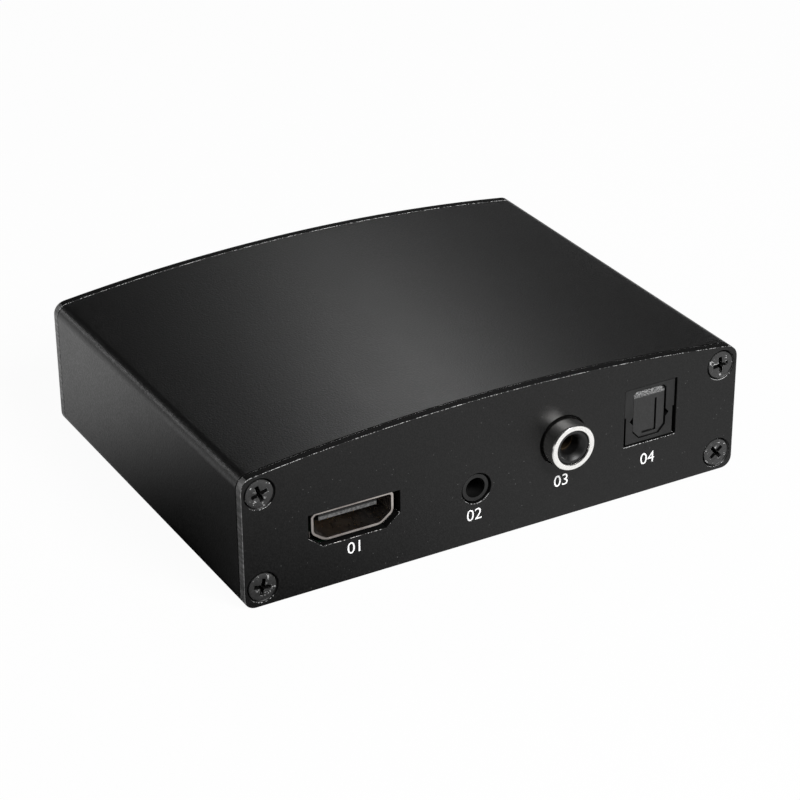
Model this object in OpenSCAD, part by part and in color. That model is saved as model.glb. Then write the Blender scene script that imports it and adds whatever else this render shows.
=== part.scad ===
// Small desktop box that takes the sound out of a video link.
// A black aluminium sleeve is closed by two screwed end plates and holds one circuit board,
// which carries every socket. The origin is on the underside, at its centre. X runs along the
// output plate, Y from the output plate (-Y) to the input plate (+Y), and Z is up.

/* [Casing] */
// Width of the casing
casing_w = 94; // [90:1:110]
// Height of the flat sides, where the crowned top starts
side_h = 23.25; // [22.75:0.25:30]
// Height that the crowned top rises above the sides at the middle
crown_rise = 3.15; // [2:0.05:6]
// Length of the extruded sleeve between the end plates
sleeve_len = 70.4; // [66:0.2:90]
// Wall thickness of the sleeve
wall_t = 1.8; // [1.4:0.1:2.2]
// Thickness of each end plate
plate_t = 1.6; // [1.5:0.1:2]
// Radius of the two upper long edges
top_corner_r = 2.3; // [1:0.1:3]
// Radius of the two lower long edges
bottom_corner_r = 2; // [1:0.1:3]

/* [Screws] */
// Distance of the screws from the sides of the casing
screw_inset_x = 3.3; // [3:0.1:4]
// Distance of the lower screws from the underside
screw_low_z = 3.4; // [3:0.1:3.4]
// Height of the upper screws
screw_high_z = 20.27; // [19.5:0.01:20.5]
// Radius of the countersunk screw heads
screw_head_r = 2.6; // [2.2:0.1:2.7]
// Radius of the screw shanks
screw_shank_r = 1.4; // [1.2:0.05:1.5]
// Length of the screws under the head
screw_len = 7; // [5:0.5:12]

/* [Circuit board] */
// Thickness of the circuit board
board_t = 1.6; // [1:0.1:1.6]
// Height of the board's upper face
board_top_z = 7.6; // [7.6:0.1:7.8]

/* [Video sockets] */
// Place of the video output socket along the output plate, as a share of the casing's width
video_out_share = -0.288; // [-0.32:0.0005:-0.21]
// Place of the video input socket along the input plate, as a share of the casing's width
video_in_share = -0.234; // [-0.298:0.001:-0.149]
// Outer width of the metal shell
video_shell_w = 14.9; // [14.5:0.1:15.3]
// Outer height of the metal shell
video_shell_h = 5.45; // [5.3:0.05:5.7]
// Depth of the metal shell
video_shell_depth = 11; // [10:0.5:12]
// Height of the shell's underside
video_shell_z = 8.2; // [8:0.05:8.4]
// Thickness of the shell's sheet metal
video_sheet_t = 0.4; // [0.3:0.05:0.5]
// Distance of the shell's mouth behind the plate's face
video_recess = 0.7; // [0.4:0.1:1]

/* [Audio jack] */
// Place of the round stereo jack along the output plate, as a share of the casing's width
jack_share = -0.0475; // [-0.085:0.0005:-0.021]
// Height of the jack's axis
jack_z = 10.05; // [10:0.05:10.6]
// Radius of the hole for the plug
jack_bore_r = 1.8; // [1.75:0.05:1.9]
// Radius of the jack's round nose
jack_nose_r = 2.45; // [2.35:0.05:2.6]
// Depth of the jack's body
jack_depth = 11.5; // [10:0.5:13]

/* [Coaxial socket] */
// Place of the coaxial socket along the output plate, as a share of the casing's width
coax_share = 0.1295; // [0.117:0.0005:0.17]
// Height of the coaxial socket's axis
coax_z = 14.52; // [13.5:0.01:15]
// Outer radius of the metal barrel
coax_barrel_r = 4.15; // [4:0.05:4.2]
// Length of barrel that stands out of the plate
coax_proud = 3.3; // [2.5:0.1:8]

/* [Optical socket] */
// Place of the optical socket along the output plate, as a share of the casing's width
optical_share = 0.3145; // [0.2875:0.0005:0.3295]
// Height of the middle of the plug opening
optical_z = 14.92; // [14.5:0.01:15.2]
// Width of the plug opening
optical_mouth_w = 6.6; // [6.4:0.1:6.8]
// Height of the plug opening
optical_mouth_h = 9; // [8.8:0.1:9.2]
// Width of the socket's body
optical_body_w = 10; // [9.6:0.1:10.2]
// Height of the socket's face
optical_face_h = 10.3; // [10.2:0.1:10.6]
// Depth of the socket's body
optical_depth = 13.6; // [13:0.2:15]

/* [Power jack] */
// Place of the power jack along the input plate, seen from outside, as a share of the width
power_share = -0.3085; // [-0.3295:0.0005:-0.266]
// Height of the power jack's axis
power_z = 14.1; // [13.5:0.1:14.5]
// Radius of the hole for the power plug
power_bore_r = 3.1; // [2.9:0.05:3.2]
// Radius of the centre pin
power_pin_r = 1; // [0.8:0.05:1.25]

/* [Mode switch] */
// Place of the slide switch along the input plate, seen from outside, as a share of the width
switch_share = -0.085; // [-0.117:0.001:-0.064]
// Distance that the knob slides each way from the middle
switch_travel = 2; // [1.5:0.1:2.2]
// Width of the knob
knob_w = 2.6; // [2.2:0.1:3]
// Height of the knob
knob_h = 2.8; // [2.4:0.1:3.2]
// Length of knob that stands out of the plate
knob_proud = 1.5; // [0.8:0.1:3]

/* [Power light] */
// Place of the power light along the input plate, seen from outside, as a share of the width
light_share = 0.053; // [0.032:0.001:0.085]
// Height of the power light's axis
light_z = 11; // [10.6:0.1:12]
// Radius of the light's lens
light_r = 1.5; // [1.2:0.1:1.6]

/* [Hidden] */
$fn = 64;

// Facets that stand for the wide arc of the crowned top
crown_facets = 720;
// Cuts run this far past the faces that they open
overrun = 1;
// Play between parts that fit into each other
fit_gap = 0.05;

casing_d = sleeve_len + 2 * plate_t;
crown_r = (pow(casing_w / 2, 2) + pow(crown_rise, 2)) / (2 * crown_rise);
crown_centre_z = side_h + crown_rise - crown_r;
inner_corner_r = 0.5;
// Rise of the corners' rounding past the crown, so that the two curves cross and do not just touch
corner_lift = 0.005;
screw_x = casing_w / 2 - screw_inset_x;
// Places of the sockets and controls on the two plates
video_out_x = video_out_share * casing_w;
jack_x = jack_share * casing_w;
coax_x = coax_share * casing_w;
optical_x = optical_share * casing_w;
video_in_x = video_in_share * casing_w;
power_x = power_share * casing_w;
switch_x = switch_share * casing_w;
light_x = light_share * casing_w;
screw_places = [[-screw_x, screw_low_z], [screw_x, screw_low_z],
    [-screw_x, screw_high_z], [screw_x, screw_high_z]];
// Screw bosses inside the sleeve's corners
boss_wall_t = 1.05;
channel_r = screw_shank_r + fit_gap;
boss_r = channel_r + boss_wall_t;
// Countersunk head: sink under the plate's face, straight rim and cone
screw_sink = 0.1;
screw_rim_h = 0.2;
screw_cone_h = 1.1;
screw_tip_h = 0.6;
screw_tip_r = 0.9;
cross_slot_w = 0.6;
cross_slot_len = 3;
cross_slot_depth = 0.9;

// Board slots inside the sleeve's sides
board_base_z = board_top_z - board_t;
slot_gap = 0.1;
rib_t = 0.9;
rib_reach = 1.6;
board_edge_gap = 0.3;
board_end_gap = 0.4;
board_w = casing_w - 2 * (wall_t + board_edge_gap);
board_len = sleeve_len - 2 * board_end_gap;
// Leads and tabs pass through the board with this play and stand out below it
lead_gap = 0.15;
lead_tail = 1;

// Video sockets
video_chamfer_w = 2.35;
video_chamfer_h = 1.75;
video_side_gap = 0.87;
video_edge_gap = 0.55;
video_cut_chamfer_w = 2.55;
video_cut_chamfer_h = 2.1;
tab_w = 1.2;
tab_shoulder_w = 2.4;
tab_inset_share = 0.24;
spring_slot_w = 0.3;
spring_tongue_w = 1.5;
spring_tongue_len = 5;
spring_x_share = 0.27;
block_depth = 3.4;
tongue_w = 10.6;
tongue_t = 1;
tongue_rise = 2.8;
tongue_inset = 1.7;
contact_pitch = 1;
contact_w = 0.45;
contact_t = 0.12;
contact_inset = 0.6;
upper_contacts = 10;
lower_contacts = 9;
tail_w = 0.25;
tail_t = 0.2;
tail_reach = 1.3;
tail_rise = 0.5;
tail_window_h = 1.1;

// Audio jack
jack_recess = 0.4;
jack_cut_r = jack_nose_r + 0.35;
jack_seat_gap = 0.1;
jack_w = 6.4;
jack_chamfer = 0.35;
jack_window_start = 4.6;
jack_cavity_step = 0.3;
jack_window_len = 4.4;
jack_window_h = 2.4;
jack_spring_t = 0.25;
jack_spring_gap = 0.1;
jack_leg_w = 1;

// Coaxial socket
coax_cut_gap = 0.35;
coax_collar_step = 0.25;
coax_cut_r = coax_barrel_r + coax_cut_gap;
coax_seat_gap = 0.1;
coax_edge = 0.4;
coax_lip = 0.35;
coax_inner_r = 3.05;
coax_spigot_wall = 0.5;
coax_spigot_len = 5;
coax_block_w = 9.6;
coax_block_depth = 9;
coax_block_top = 4.9;
coax_block_chamfer = 1;
coax_leg_r = 0.5;
coax_mouth_inset = 0.35;
coax_mouth_r = 2.5;
coax_mouth_depth = 0.9;
coax_hole_r = 1.75;
coax_hole_len = 2;
coax_tube_r = 1.5;
coax_tube_wall = 0.5;
coax_tail_r = 0.4;

// Optical socket
optical_recess = 0.35;
optical_cut_gap = 0.24;
optical_step_w = 0.3;
optical_front_t = 1.5;
optical_wall_t = 0.75;
optical_chamfer_w = 1.3;
optical_chamfer_h = 1.4;
optical_top_r = 0.5;
notch_w = 0.65;
notch_h = 1.5;
notch_drop = 0.9;
optical_back_t = 1.4;
guide_bore_r = 1.6;
sweep_gap = 0.4;
plug_axis_drop = 0.6;
optical_foot_setback = 2.2;
emitter_w = 6.4;
emitter_h = 6.6;
emitter_t = 2.2;
emitter_dome_r = 1.2;
emitter_lead_w = 0.5;
emitter_lead_pitch = 2.54;
// Shutter, its pin and its spring
shutter_gap = 0.12;
shutter_recess = 0.25;
shutter_t = 1;
hinge_r = 0.75;
hinge_pin_r = 0.25;
hinge_pin_seat = 0.5;
groove_w = 0.4;
groove_depth = 0.5;
groove_x = 1.2;
groove_drop = 2.2;
groove_rise = 0.7;
groove_reach = 2.5;
spring_wire_r = 0.08;
spring_coil_r = 0.42;
spring_pocket_r = 0.56;
spring_turns = 4;
spring_pitch = 0.24;
spring_leg_len = 1.6;
spring_sides = 6;
spring_steps = 10;
spring_pocket_len = 1.6;
spring_pocket_x = 1.2;
leg_slot_w = 0.4;
leg_slot_depth = 0.35;

// Power jack
power_seat_gap = 0.1;
power_w = 9;
power_depth = 14;
power_flange_depth = 3.4;
power_flange_top = 4.6;
power_barrel_r = 4.3;
power_hole_r = 3.9;
power_hole_depth = 9.8;
power_pin_inset = 1.2;
power_root_step = 0.3;
power_spring_w = 1.6;
power_spring_t = 0.3;
power_spring_slot = 0.15;
power_leg_w = 1.5;
power_leg_t = 0.4;

// Slide switch
switch_seat_gap = 0.2;
switch_w = 12.6;
switch_h = 6;
switch_depth = 5.2;
switch_sheet_t = 0.35;
slider_w = 6;
slider_h = 4.4;
slider_t = 2;
slider_play = 0.15;
wiper_t = 0.3;
wiper_w = 4;
wiper_h = 1.2;
wiper_gap = 0.1;
base_t = 1.6;
switch_slot_gap = 0.4;
frame_slot_gap = 0.2;
terminal_r = 0.35;
terminal_count = 4;
terminal_pitch = 2.5;
terminal_setback = 0.8;

// Power light
light_gap = 0.15;
light_dome_proud = 0.7;
light_body_len = 4.6;
light_flange_t = 0.8;
light_flange_w = 0.3;
light_lead_r = 0.25;
light_lead_x = 0.9;
light_lead_len = 1.4;
holder_w = 4.6;
holder_depth = 4;
holder_wall_t = 0.7;

// Parts on the board: places are shares of the board's width and length from its middle
chip_lift = 0.1;
lead_t = 0.15;
extractor_w = 10;
extractor_h = 1.3;
extractor_place_shares = [-0.17, -0.02];
extractor_leads = 12;
extractor_pitch = 0.75;
extractor_lead_w = 0.3;
sound_w = 3.9;
sound_len = 10;
sound_h = 1.4;
sound_place_shares = [0.13, -0.13];
sound_leads = 8;
sound_pitch = 1.2;
sound_lead_w = 0.4;
controller_w = 3.9;
controller_len = 4.9;
controller_h = 1.4;
controller_place_shares = [0.05, 0.14];
controller_leads = 4;
controller_pitch = 1.2;
controller_lead_w = 0.4;
lead_reach = 1;
regulator_place_shares = [0.3, 0.11];
regulator_w = 6.5;
regulator_d = 3.5;
regulator_h = 1.6;
regulator_tab_w = 3;
regulator_lead_w = 0.7;
regulator_pitch = 2.3;
crystal_place_shares = [-0.37, 0.08];
crystal_w = 4.6;
crystal_len = 11;
crystal_h = 3.5;
crystal_brim = 0.4;
crystal_brim_h = 0.5;
inductor_place_shares = [0.3, -0.05];
inductor_base_w = 6;
inductor_base_h = 0.8;
inductor_drum_r = 2.8;
inductor_core_r = 1.5;
inductor_rim_h = 0.5;
inductor_winding_h = 1.6;
winding_turns = 6;
can_places_shares = [[-0.4, -0.12], [-0.4, 0.2], [0.42, -0.08]];
can_r = 3.15;
can_h = 7.2;
can_base_w = 6.6;
can_base_h = 1;
can_groove_r = 0.3;
can_groove_z = 1.6;
chip_part_len = 2;
chip_part_w = 1.25;
chip_part_h = 0.6;
chip_cap_w = 0.4;
capacitor_places_shares = [[-0.27, -0.11], [-0.27, -0.03], [-0.27, 0.05], [-0.08, 0.1],
    [-0.05, -0.12], [0, -0.06], [0.24, -0.14], [0.2, -0.06], [0.21, 0.04], [0.12, 0.14]];
resistor_places_shares = [[-0.25, 0.14], [-0.19, 0.14], [-0.13, 0.14], [-0.05, 0.02],
    [0.01, 0.02], [0.05, 0.06], [0.13, 0.02], [0.13, 0.06], [0.38, 0.1], [0.38, 0.05]];

black_metal = [0.09, 0.09, 0.1];
black_plastic = [0.06, 0.06, 0.06];
dark_steel = [0.14, 0.14, 0.15];
bright_metal = [0.8, 0.8, 0.82];
gold_metal = [0.85, 0.68, 0.3];
copper_metal = [0.72, 0.42, 0.22];
board_green = [0.05, 0.3, 0.16];
ceramic_tan = [0.68, 0.56, 0.4];

// Places a socket drawn with its mouth at y = 0 and its depth along +Y
module at_output(x) {
    translate([x, -casing_d / 2, 0]) children();
}

module at_input(x) {
    rotate([0, 0, 180]) translate([x, -casing_d / 2, 0]) children();
}

// Raises an outline drawn in x and z, from y = start, to the given depth
module slab(start, depth) {
    translate([0, start + depth, 0]) rotate([90, 0, 0]) linear_extrude(depth) children();
}

// A round bar along +Y from y = start; its far end may have another radius
module bar(x, start, z, length, r, far_r) {
    translate([x, start, z]) rotate([-90, 0, 0]) cylinder(h = length, r1 = r, r2 = far_r);
}

module rod(x, start, z, length, r) {
    bar(x, start, z, length, r, r);
}

// A block given by its low and high corners
module block(low, high) {
    translate(low) cube(high - low);
}

// Round leads from below the board up to a height, and the holes that they pass through
module leads(places, r, top_z) {
    for (p = places)
        translate([p[0], p[1], board_base_z - lead_tail])
            cylinder(h = top_z - board_base_z + lead_tail, r = r);
}

module lead_holes(places, r) {
    for (p = places)
        translate([p[0], p[1], board_base_z - overrun])
            cylinder(h = board_t + 2 * overrun, r = r + lead_gap);
}

// A flat tab through the board, and its slot
module tab(x, y, size_x, size_y, top_z) {
    block([x - size_x / 2, y - size_y / 2, board_base_z - lead_tail],
        [x + size_x / 2, y + size_y / 2, top_z]);
}

module tab_slot(x, y, size_x, size_y) {
    block([x - size_x / 2 - lead_gap, y - size_y / 2 - lead_gap, board_base_z - overrun],
        [x + size_x / 2 + lead_gap, y + size_y / 2 + lead_gap, board_top_z + overrun]);
}

// Casing

// Outline of the casing, drawn in from its outer face by the inset
module casing_outline(inset) {
    half_w = casing_w / 2 - inset;
    arc_r = crown_r - inset;
    top_r = max(top_corner_r - inset, inner_corner_r);
    low_r = max(bottom_corner_r - inset, inner_corner_r);
    top_x = half_w - top_r;
    top_z = crown_centre_z + corner_lift + sqrt(pow(arc_r - top_r, 2) - pow(top_x, 2));
    lean = [top_x, top_z - crown_centre_z] / (arc_r - top_r);
    difference() {
        intersection() {
            translate([-half_w, inset]) square([2 * half_w, side_h + crown_rise]);
            translate([0, crown_centre_z]) circle(arc_r, $fn = crown_facets);
        }
        for (side = [0, 1]) mirror([side, 0]) {
            polygon([[top_x, top_z], [half_w + overrun, top_z],
                [half_w + overrun, top_z + top_r + overrun],
                [top_x, top_z] + (top_r + overrun) * lean]);
            translate([half_w - low_r, inset - overrun])
                square([low_r + overrun, low_r + overrun]);
        }
    }
    for (side = [0, 1]) mirror([side, 0]) {
        translate([top_x, top_z]) circle(top_r);
        translate([half_w - low_r, inset + low_r]) circle(low_r);
    }
}

// Ribs that hold the board's edges, and round bosses for the screws
module sleeve_ribs() {
    inner_x = casing_w / 2 - wall_t;
    for (side = [0, 1]) mirror([side, 0]) {
        translate([inner_x - rib_reach, board_base_z - rib_t])
            square([rib_reach + wall_t / 2, rib_t]);
        translate([inner_x - rib_reach, board_top_z + slot_gap])
            square([rib_reach + wall_t / 2, rib_t]);
    }
    for (p = screw_places) translate(p) circle(boss_r);
}

module casing_sleeve() {
    color(black_metal) slab(-sleeve_len / 2, sleeve_len) difference() {
        casing_outline(0);
        difference() {
            casing_outline(wall_t);
            sleeve_ribs();
        }
        for (p = screw_places) translate(p) circle(channel_r);
    }
}

// End plate with its countersunk screw holes, outer face at y = 0
module plate_blank() {
    sunk = screw_sink + screw_rim_h;
    difference() {
        slab(0, plate_t) casing_outline(0);
        for (p = screw_places) {
            rod(p[0], -overrun, p[1], plate_t + 2 * overrun, channel_r);
            rod(p[0], -overrun, p[1], sunk + overrun, screw_head_r + fit_gap);
            bar(p[0], sunk, p[1], screw_cone_h, screw_head_r + fit_gap, channel_r);
        }
    }
}

module plate_screws() {
    sunk = screw_sink + screw_rim_h;
    for (p = screw_places) difference() {
        union() {
            rod(p[0], screw_sink, p[1], screw_rim_h, screw_head_r);
            bar(p[0], sunk, p[1], screw_cone_h, screw_head_r, screw_shank_r);
            rod(p[0], sunk + screw_cone_h, p[1], screw_len, screw_shank_r);
            bar(p[0], sunk + screw_cone_h + screw_len, p[1], screw_tip_h, screw_shank_r,
                screw_tip_r);
        }
        for (turn = [0, 90]) translate([p[0], 0, p[1]]) rotate([0, turn, 0])
            block([-cross_slot_len / 2, -overrun, -cross_slot_w / 2],
                [cross_slot_len / 2, screw_sink + cross_slot_depth, cross_slot_w / 2]);
    }
}

module output_plate() {
    color(black_metal) difference() {
        at_output(0) plate_blank();
        at_output(video_out_x) video_cut();
        at_output(jack_x) rod(0, -overrun, jack_z, plate_t + 2 * overrun, jack_cut_r);
        at_output(coax_x) rod(0, -overrun, coax_z, plate_t + 2 * overrun, coax_cut_r);
        at_output(optical_x) optical_cut();
    }
}

module input_plate() {
    color(black_metal) difference() {
        at_input(0) plate_blank();
        at_input(-video_in_x) video_cut();
        at_input(power_x) rod(0, -overrun, power_z, plate_t + 2 * overrun, power_hole_r);
        at_input(switch_x) switch_cut();
        at_input(light_x) rod(0, -overrun, light_z, plate_t + 2 * overrun, light_r + light_gap);
    }
}

module output_plate_screws() {
    color(dark_steel) at_output(0) plate_screws();
}

module input_plate_screws() {
    color(dark_steel) at_input(0) plate_screws();
}

module circuit_board() {
    color(board_green) difference() {
        block([-board_w / 2, -board_len / 2, board_base_z],
            [board_w / 2, board_len / 2, board_top_z]);
        at_output(video_out_x) video_tab_slots();
        at_input(-video_in_x) video_tab_slots();
        at_output(jack_x) jack_leg_slots();
        at_output(coax_x) lead_holes([coax_leg_place, coax_tail_place], coax_leg_r);
        at_output(optical_x) emitter_lead_slots();
        at_input(power_x) power_leg_slots();
        at_input(switch_x) lead_holes(terminal_places, terminal_r);
        at_input(light_x) lead_holes(light_lead_places, light_lead_r);
    }
}

// Video sockets: one design, used on both plates

// D-shaped outline, narrow side down
module video_outline(half_w, low_z, high_z, chamfer_w, chamfer_h) {
    polygon([[-half_w, low_z + chamfer_h], [chamfer_w - half_w, low_z],
        [half_w - chamfer_w, low_z], [half_w, low_z + chamfer_h],
        [half_w, high_z], [-half_w, high_z]]);
}

// The shell's outline, drawn in by the inset with its slopes kept parallel
module video_shell_outline(inset) {
    slope = norm([video_chamfer_w, video_chamfer_h]);
    video_outline(video_shell_w / 2 - inset, video_shell_z + inset,
        video_shell_z + video_shell_h - inset,
        video_chamfer_w - inset + inset * (slope - video_chamfer_w) / video_chamfer_h,
        video_chamfer_h + inset * (slope - video_chamfer_h - video_chamfer_w) / video_chamfer_w);
}

module video_cut() {
    slab(-overrun, plate_t + 2 * overrun)
        video_outline(video_shell_w / 2 + video_side_gap, video_shell_z - video_edge_gap,
            video_shell_z + video_shell_h + video_edge_gap,
            video_cut_chamfer_w, video_cut_chamfer_h);
}

video_back_y = video_recess + video_shell_depth;
video_tab_ys = [video_recess + video_shell_depth * tab_inset_share,
    video_back_y - video_shell_depth * tab_inset_share];
video_tab_x = (video_shell_w - video_sheet_t) / 2;
video_block_y = video_back_y - video_sheet_t - block_depth;
tongue_z = video_shell_z + tongue_rise;
tongue_y = video_recess + tongue_inset;

module video_tab_slots() {
    for (x = [-video_tab_x, video_tab_x], y = video_tab_ys)
        tab_slot(x, y, video_sheet_t, tab_w);
}

module video_shell() {
    roof_z = video_shell_z + video_shell_h;
    color(bright_metal) difference() {
        union() {
            slab(video_recess, video_shell_depth) video_shell_outline(0);
            for (x = [-video_tab_x, video_tab_x], y = video_tab_ys) {
                tab(x, y, video_sheet_t, tab_w, video_shell_z + video_chamfer_h);
                block([x - video_sheet_t / 2, y - tab_shoulder_w / 2, board_top_z],
                    [x + video_sheet_t / 2, y + tab_shoulder_w / 2,
                        video_shell_z + video_chamfer_h]);
            }
        }
        slab(video_recess - overrun, video_shell_depth - video_sheet_t + overrun)
            video_shell_outline(video_sheet_t);
        block([-tongue_w / 2, video_back_y - 2 * video_sheet_t, video_shell_z - overrun],
            [tongue_w / 2, video_back_y + overrun, video_shell_z + tail_window_h]);
        for (side = [-1, 1]) translate([side * spring_x_share * video_shell_w, 0, 0]) {
            for (edge = [-1, 1])
                block([edge * (spring_tongue_w + spring_slot_w) / 2 - spring_slot_w / 2,
                        video_recess + tongue_inset, roof_z - video_sheet_t - overrun],
                    [edge * (spring_tongue_w + spring_slot_w) / 2 + spring_slot_w / 2,
                        video_recess + tongue_inset + spring_tongue_len, roof_z + overrun]);
            block([-spring_tongue_w / 2 - spring_slot_w,
                    video_recess + tongue_inset - spring_slot_w,
                    roof_z - video_sheet_t - overrun],
                [spring_tongue_w / 2 + spring_slot_w, video_recess + tongue_inset,
                    roof_z + overrun]);
        }
    }
}

module video_insulator() {
    color(black_plastic) union() {
        slab(video_block_y, block_depth - fit_gap)
            video_shell_outline(video_sheet_t + fit_gap);
        block([-tongue_w / 2, tongue_y, tongue_z],
            [tongue_w / 2, video_block_y + block_depth / 2, tongue_z + tongue_t]);
    }
}

// A row of flat contacts on the tongue, lowest face at z
module contact_row(count, z) {
    for (i = [0:count - 1]) {
        x = (i - (count - 1) / 2) * contact_pitch;
        block([x - contact_w / 2, tongue_y + contact_inset, z],
            [x + contact_w / 2, video_block_y, z + contact_t]);
    }
}

// Bent solder tails behind the insulator, side by side on the board
module contact_tails(count) {
    pitch = contact_pitch / 2;
    back_y = video_block_y + block_depth - fit_gap;
    foot_z = board_top_z;
    knee_z = video_shell_z + video_sheet_t + tail_rise;
    knee_y = video_back_y + tail_t;
    for (i = [0:count - 1]) {
        x = (i - (count - 1) / 2) * pitch;
        translate([x - tail_w / 2, 0, 0]) rotate([90, 0, 90]) linear_extrude(tail_w)
            polygon([[back_y, knee_z], [knee_y, knee_z], [knee_y, foot_z + tail_t],
                [knee_y + tail_reach, foot_z + tail_t], [knee_y + tail_reach, foot_z],
                [knee_y - tail_t, foot_z], [knee_y - tail_t, knee_z - tail_t],
                [back_y, knee_z - tail_t]]);
    }
}

module video_contacts() {
    color(gold_metal) {
        contact_row(upper_contacts, tongue_z + tongue_t);
        contact_row(lower_contacts, tongue_z - contact_t);
        contact_tails(upper_contacts + lower_contacts);
    }
}

module video_out_shell() {
    at_output(video_out_x) video_shell();
}

module video_out_insulator() {
    at_output(video_out_x) video_insulator();
}

module video_out_contacts() {
    at_output(video_out_x) video_contacts();
}

module video_in_shell() {
    at_input(-video_in_x) video_shell();
}

module video_in_insulator() {
    at_input(-video_in_x) video_insulator();
}

module video_in_contacts() {
    at_input(-video_in_x) video_contacts();
}

// Audio jack
jack_front_y = plate_t + jack_seat_gap;
jack_back_y = jack_front_y + jack_depth;
jack_window_y = jack_front_y + jack_window_start;
jack_spring_x = jack_w / 2 - jack_spring_t / 2 - fit_gap;
jack_leg_y = jack_window_y + jack_window_len / 2;

module jack_leg_slots() {
    for (x = [-jack_spring_x, jack_spring_x]) tab_slot(x, jack_leg_y, jack_spring_t, jack_leg_w);
}

module jack_body() {
    at_output(jack_x) color(black_plastic) difference() {
        union() {
            rod(0, jack_recess, jack_z, jack_front_y - jack_recess + overrun, jack_nose_r);
            slab(jack_front_y, jack_depth) polygon([[-jack_w / 2, board_top_z],
                [jack_w / 2, board_top_z],
                [jack_w / 2, 2 * jack_z - board_top_z - jack_chamfer],
                [jack_w / 2 - jack_chamfer, 2 * jack_z - board_top_z],
                [jack_chamfer - jack_w / 2, 2 * jack_z - board_top_z],
                [-jack_w / 2, 2 * jack_z - board_top_z - jack_chamfer]]);
        }
        rod(0, 0, jack_z, jack_window_y + overrun, jack_bore_r);
        rod(0, jack_window_y, jack_z, jack_back_y - jack_window_y + overrun,
            jack_bore_r + jack_cavity_step);
        for (side = [0, 1]) mirror([side, 0, 0])
            block([jack_bore_r / 2, jack_window_y, board_top_z - overrun],
                [jack_w / 2 + overrun, jack_window_y + jack_window_len,
                    jack_z + jack_window_h / 2]);
    }
}

// Two bent contacts whose bumps press on the plug
module jack_springs() {
    low_z = jack_z - jack_window_h / 2;
    inner_x = jack_spring_x - jack_spring_t / 2;
    at_output(jack_x) color(bright_metal) for (side = [0, 1]) mirror([side, 0, 0]) {
        block([inner_x, jack_window_y + jack_spring_gap, low_z],
            [inner_x + jack_spring_t, jack_window_y + jack_window_len - jack_spring_gap,
                jack_z + jack_window_h / 2 - jack_spring_gap]);
        tab(jack_spring_x, jack_leg_y, jack_spring_t, jack_leg_w, jack_z);
        translate([0, jack_leg_y, low_z])
            intersection() {
                translate([inner_x, 0, 0])
                    cylinder(h = jack_window_h - jack_spring_gap, r = inner_x - jack_bore_r
                        - jack_spring_gap);
                block([jack_bore_r, -jack_window_len / 2, 0],
                    [inner_x + jack_spring_t / 2, jack_window_len / 2, jack_window_h]);
            }
    }
}

// Coaxial socket
coax_front_y = plate_t + coax_seat_gap;
coax_block_back = coax_front_y + coax_block_depth;
coax_spigot_r = coax_inner_r + coax_spigot_wall;
coax_spigot_back = coax_front_y + coax_spigot_len;
coax_tube_out_r = coax_tube_r + coax_tube_wall;
coax_mouth_y = coax_mouth_inset - coax_proud;
coax_tube_y = coax_mouth_y + coax_mouth_depth + coax_hole_len;
coax_leg_place = [0, coax_front_y + coax_spigot_len / 2];
coax_tail_place = [0, coax_block_back + 2 * coax_tail_r];

module coax_housing() {
    half = coax_block_w / 2;
    top_z = coax_z + coax_block_top;
    at_output(coax_x) color(black_plastic) difference() {
        slab(coax_front_y, coax_block_depth) polygon([[-half, board_top_z],
            [half, board_top_z], [half, top_z - coax_block_chamfer],
            [half - coax_block_chamfer, top_z], [coax_block_chamfer - half, top_z],
            [-half, top_z - coax_block_chamfer]]);
        rod(0, 0, coax_z, coax_spigot_back + fit_gap, coax_spigot_r + fit_gap);
        rod(0, 0, coax_z, coax_block_back + overrun, coax_tail_r + lead_gap);
        translate([coax_leg_place[0], coax_leg_place[1], board_top_z - overrun])
            cylinder(h = coax_z - board_top_z + overrun, r = coax_leg_r + lead_gap);
    }
}

// Turned metal barrel: chamfered mouth, collar in the plate and spigot in the housing
module coax_barrel() {
    collar_r = coax_barrel_r + coax_collar_step;
    at_output(coax_x) color(bright_metal) difference() {
        union() {
            bar(0, -coax_proud, coax_z, coax_edge, coax_barrel_r - coax_edge, coax_barrel_r);
            rod(0, coax_edge - coax_proud, coax_z, coax_proud - coax_edge, coax_barrel_r);
            rod(0, 0, coax_z, coax_front_y, collar_r);
            rod(0, coax_front_y, coax_z, coax_spigot_len, coax_spigot_r);
            leads([coax_leg_place], coax_leg_r, coax_z - coax_inner_r - coax_spigot_wall / 2);
        }
        rod(0, -coax_proud - overrun, coax_z, coax_spigot_back + coax_proud + 2 * overrun,
            coax_inner_r);
        bar(0, -coax_proud, coax_z, coax_lip, coax_inner_r + coax_lip, coax_inner_r);
    }
}

// Black plug guide inside the barrel, with a funnel that leads to the middle hole
module coax_insulator() {
    at_output(coax_x) color(black_plastic) difference() {
        rod(0, coax_mouth_y, coax_z, coax_spigot_back - coax_mouth_y, coax_inner_r - fit_gap);
        bar(0, coax_mouth_y, coax_z, coax_mouth_depth, coax_mouth_r, coax_hole_r);
        rod(0, coax_mouth_y, coax_z, coax_spigot_back - coax_mouth_y + overrun, coax_hole_r);
        rod(0, coax_tube_y, coax_z, coax_spigot_back - coax_tube_y + overrun,
            coax_tube_out_r + fit_gap);
    }
}

// Tube that grips the plug's pin, with a tail that bends down behind the housing
module coax_center_contact() {
    tail_start = coax_spigot_back - coax_tube_wall;
    at_output(coax_x) color(gold_metal) union() {
        difference() {
            rod(0, coax_tube_y, coax_z, coax_spigot_back - coax_tube_y, coax_tube_out_r);
            rod(0, coax_tube_y - overrun, coax_z, tail_start - coax_tube_y + overrun,
                coax_tube_r);
        }
        rod(0, tail_start, coax_z, coax_tail_place[1] - tail_start, coax_tail_r);
        translate([coax_tail_place[0], coax_tail_place[1], coax_z]) sphere(coax_tail_r);
        leads([coax_tail_place], coax_tail_r, coax_z);
    }
}

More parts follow.
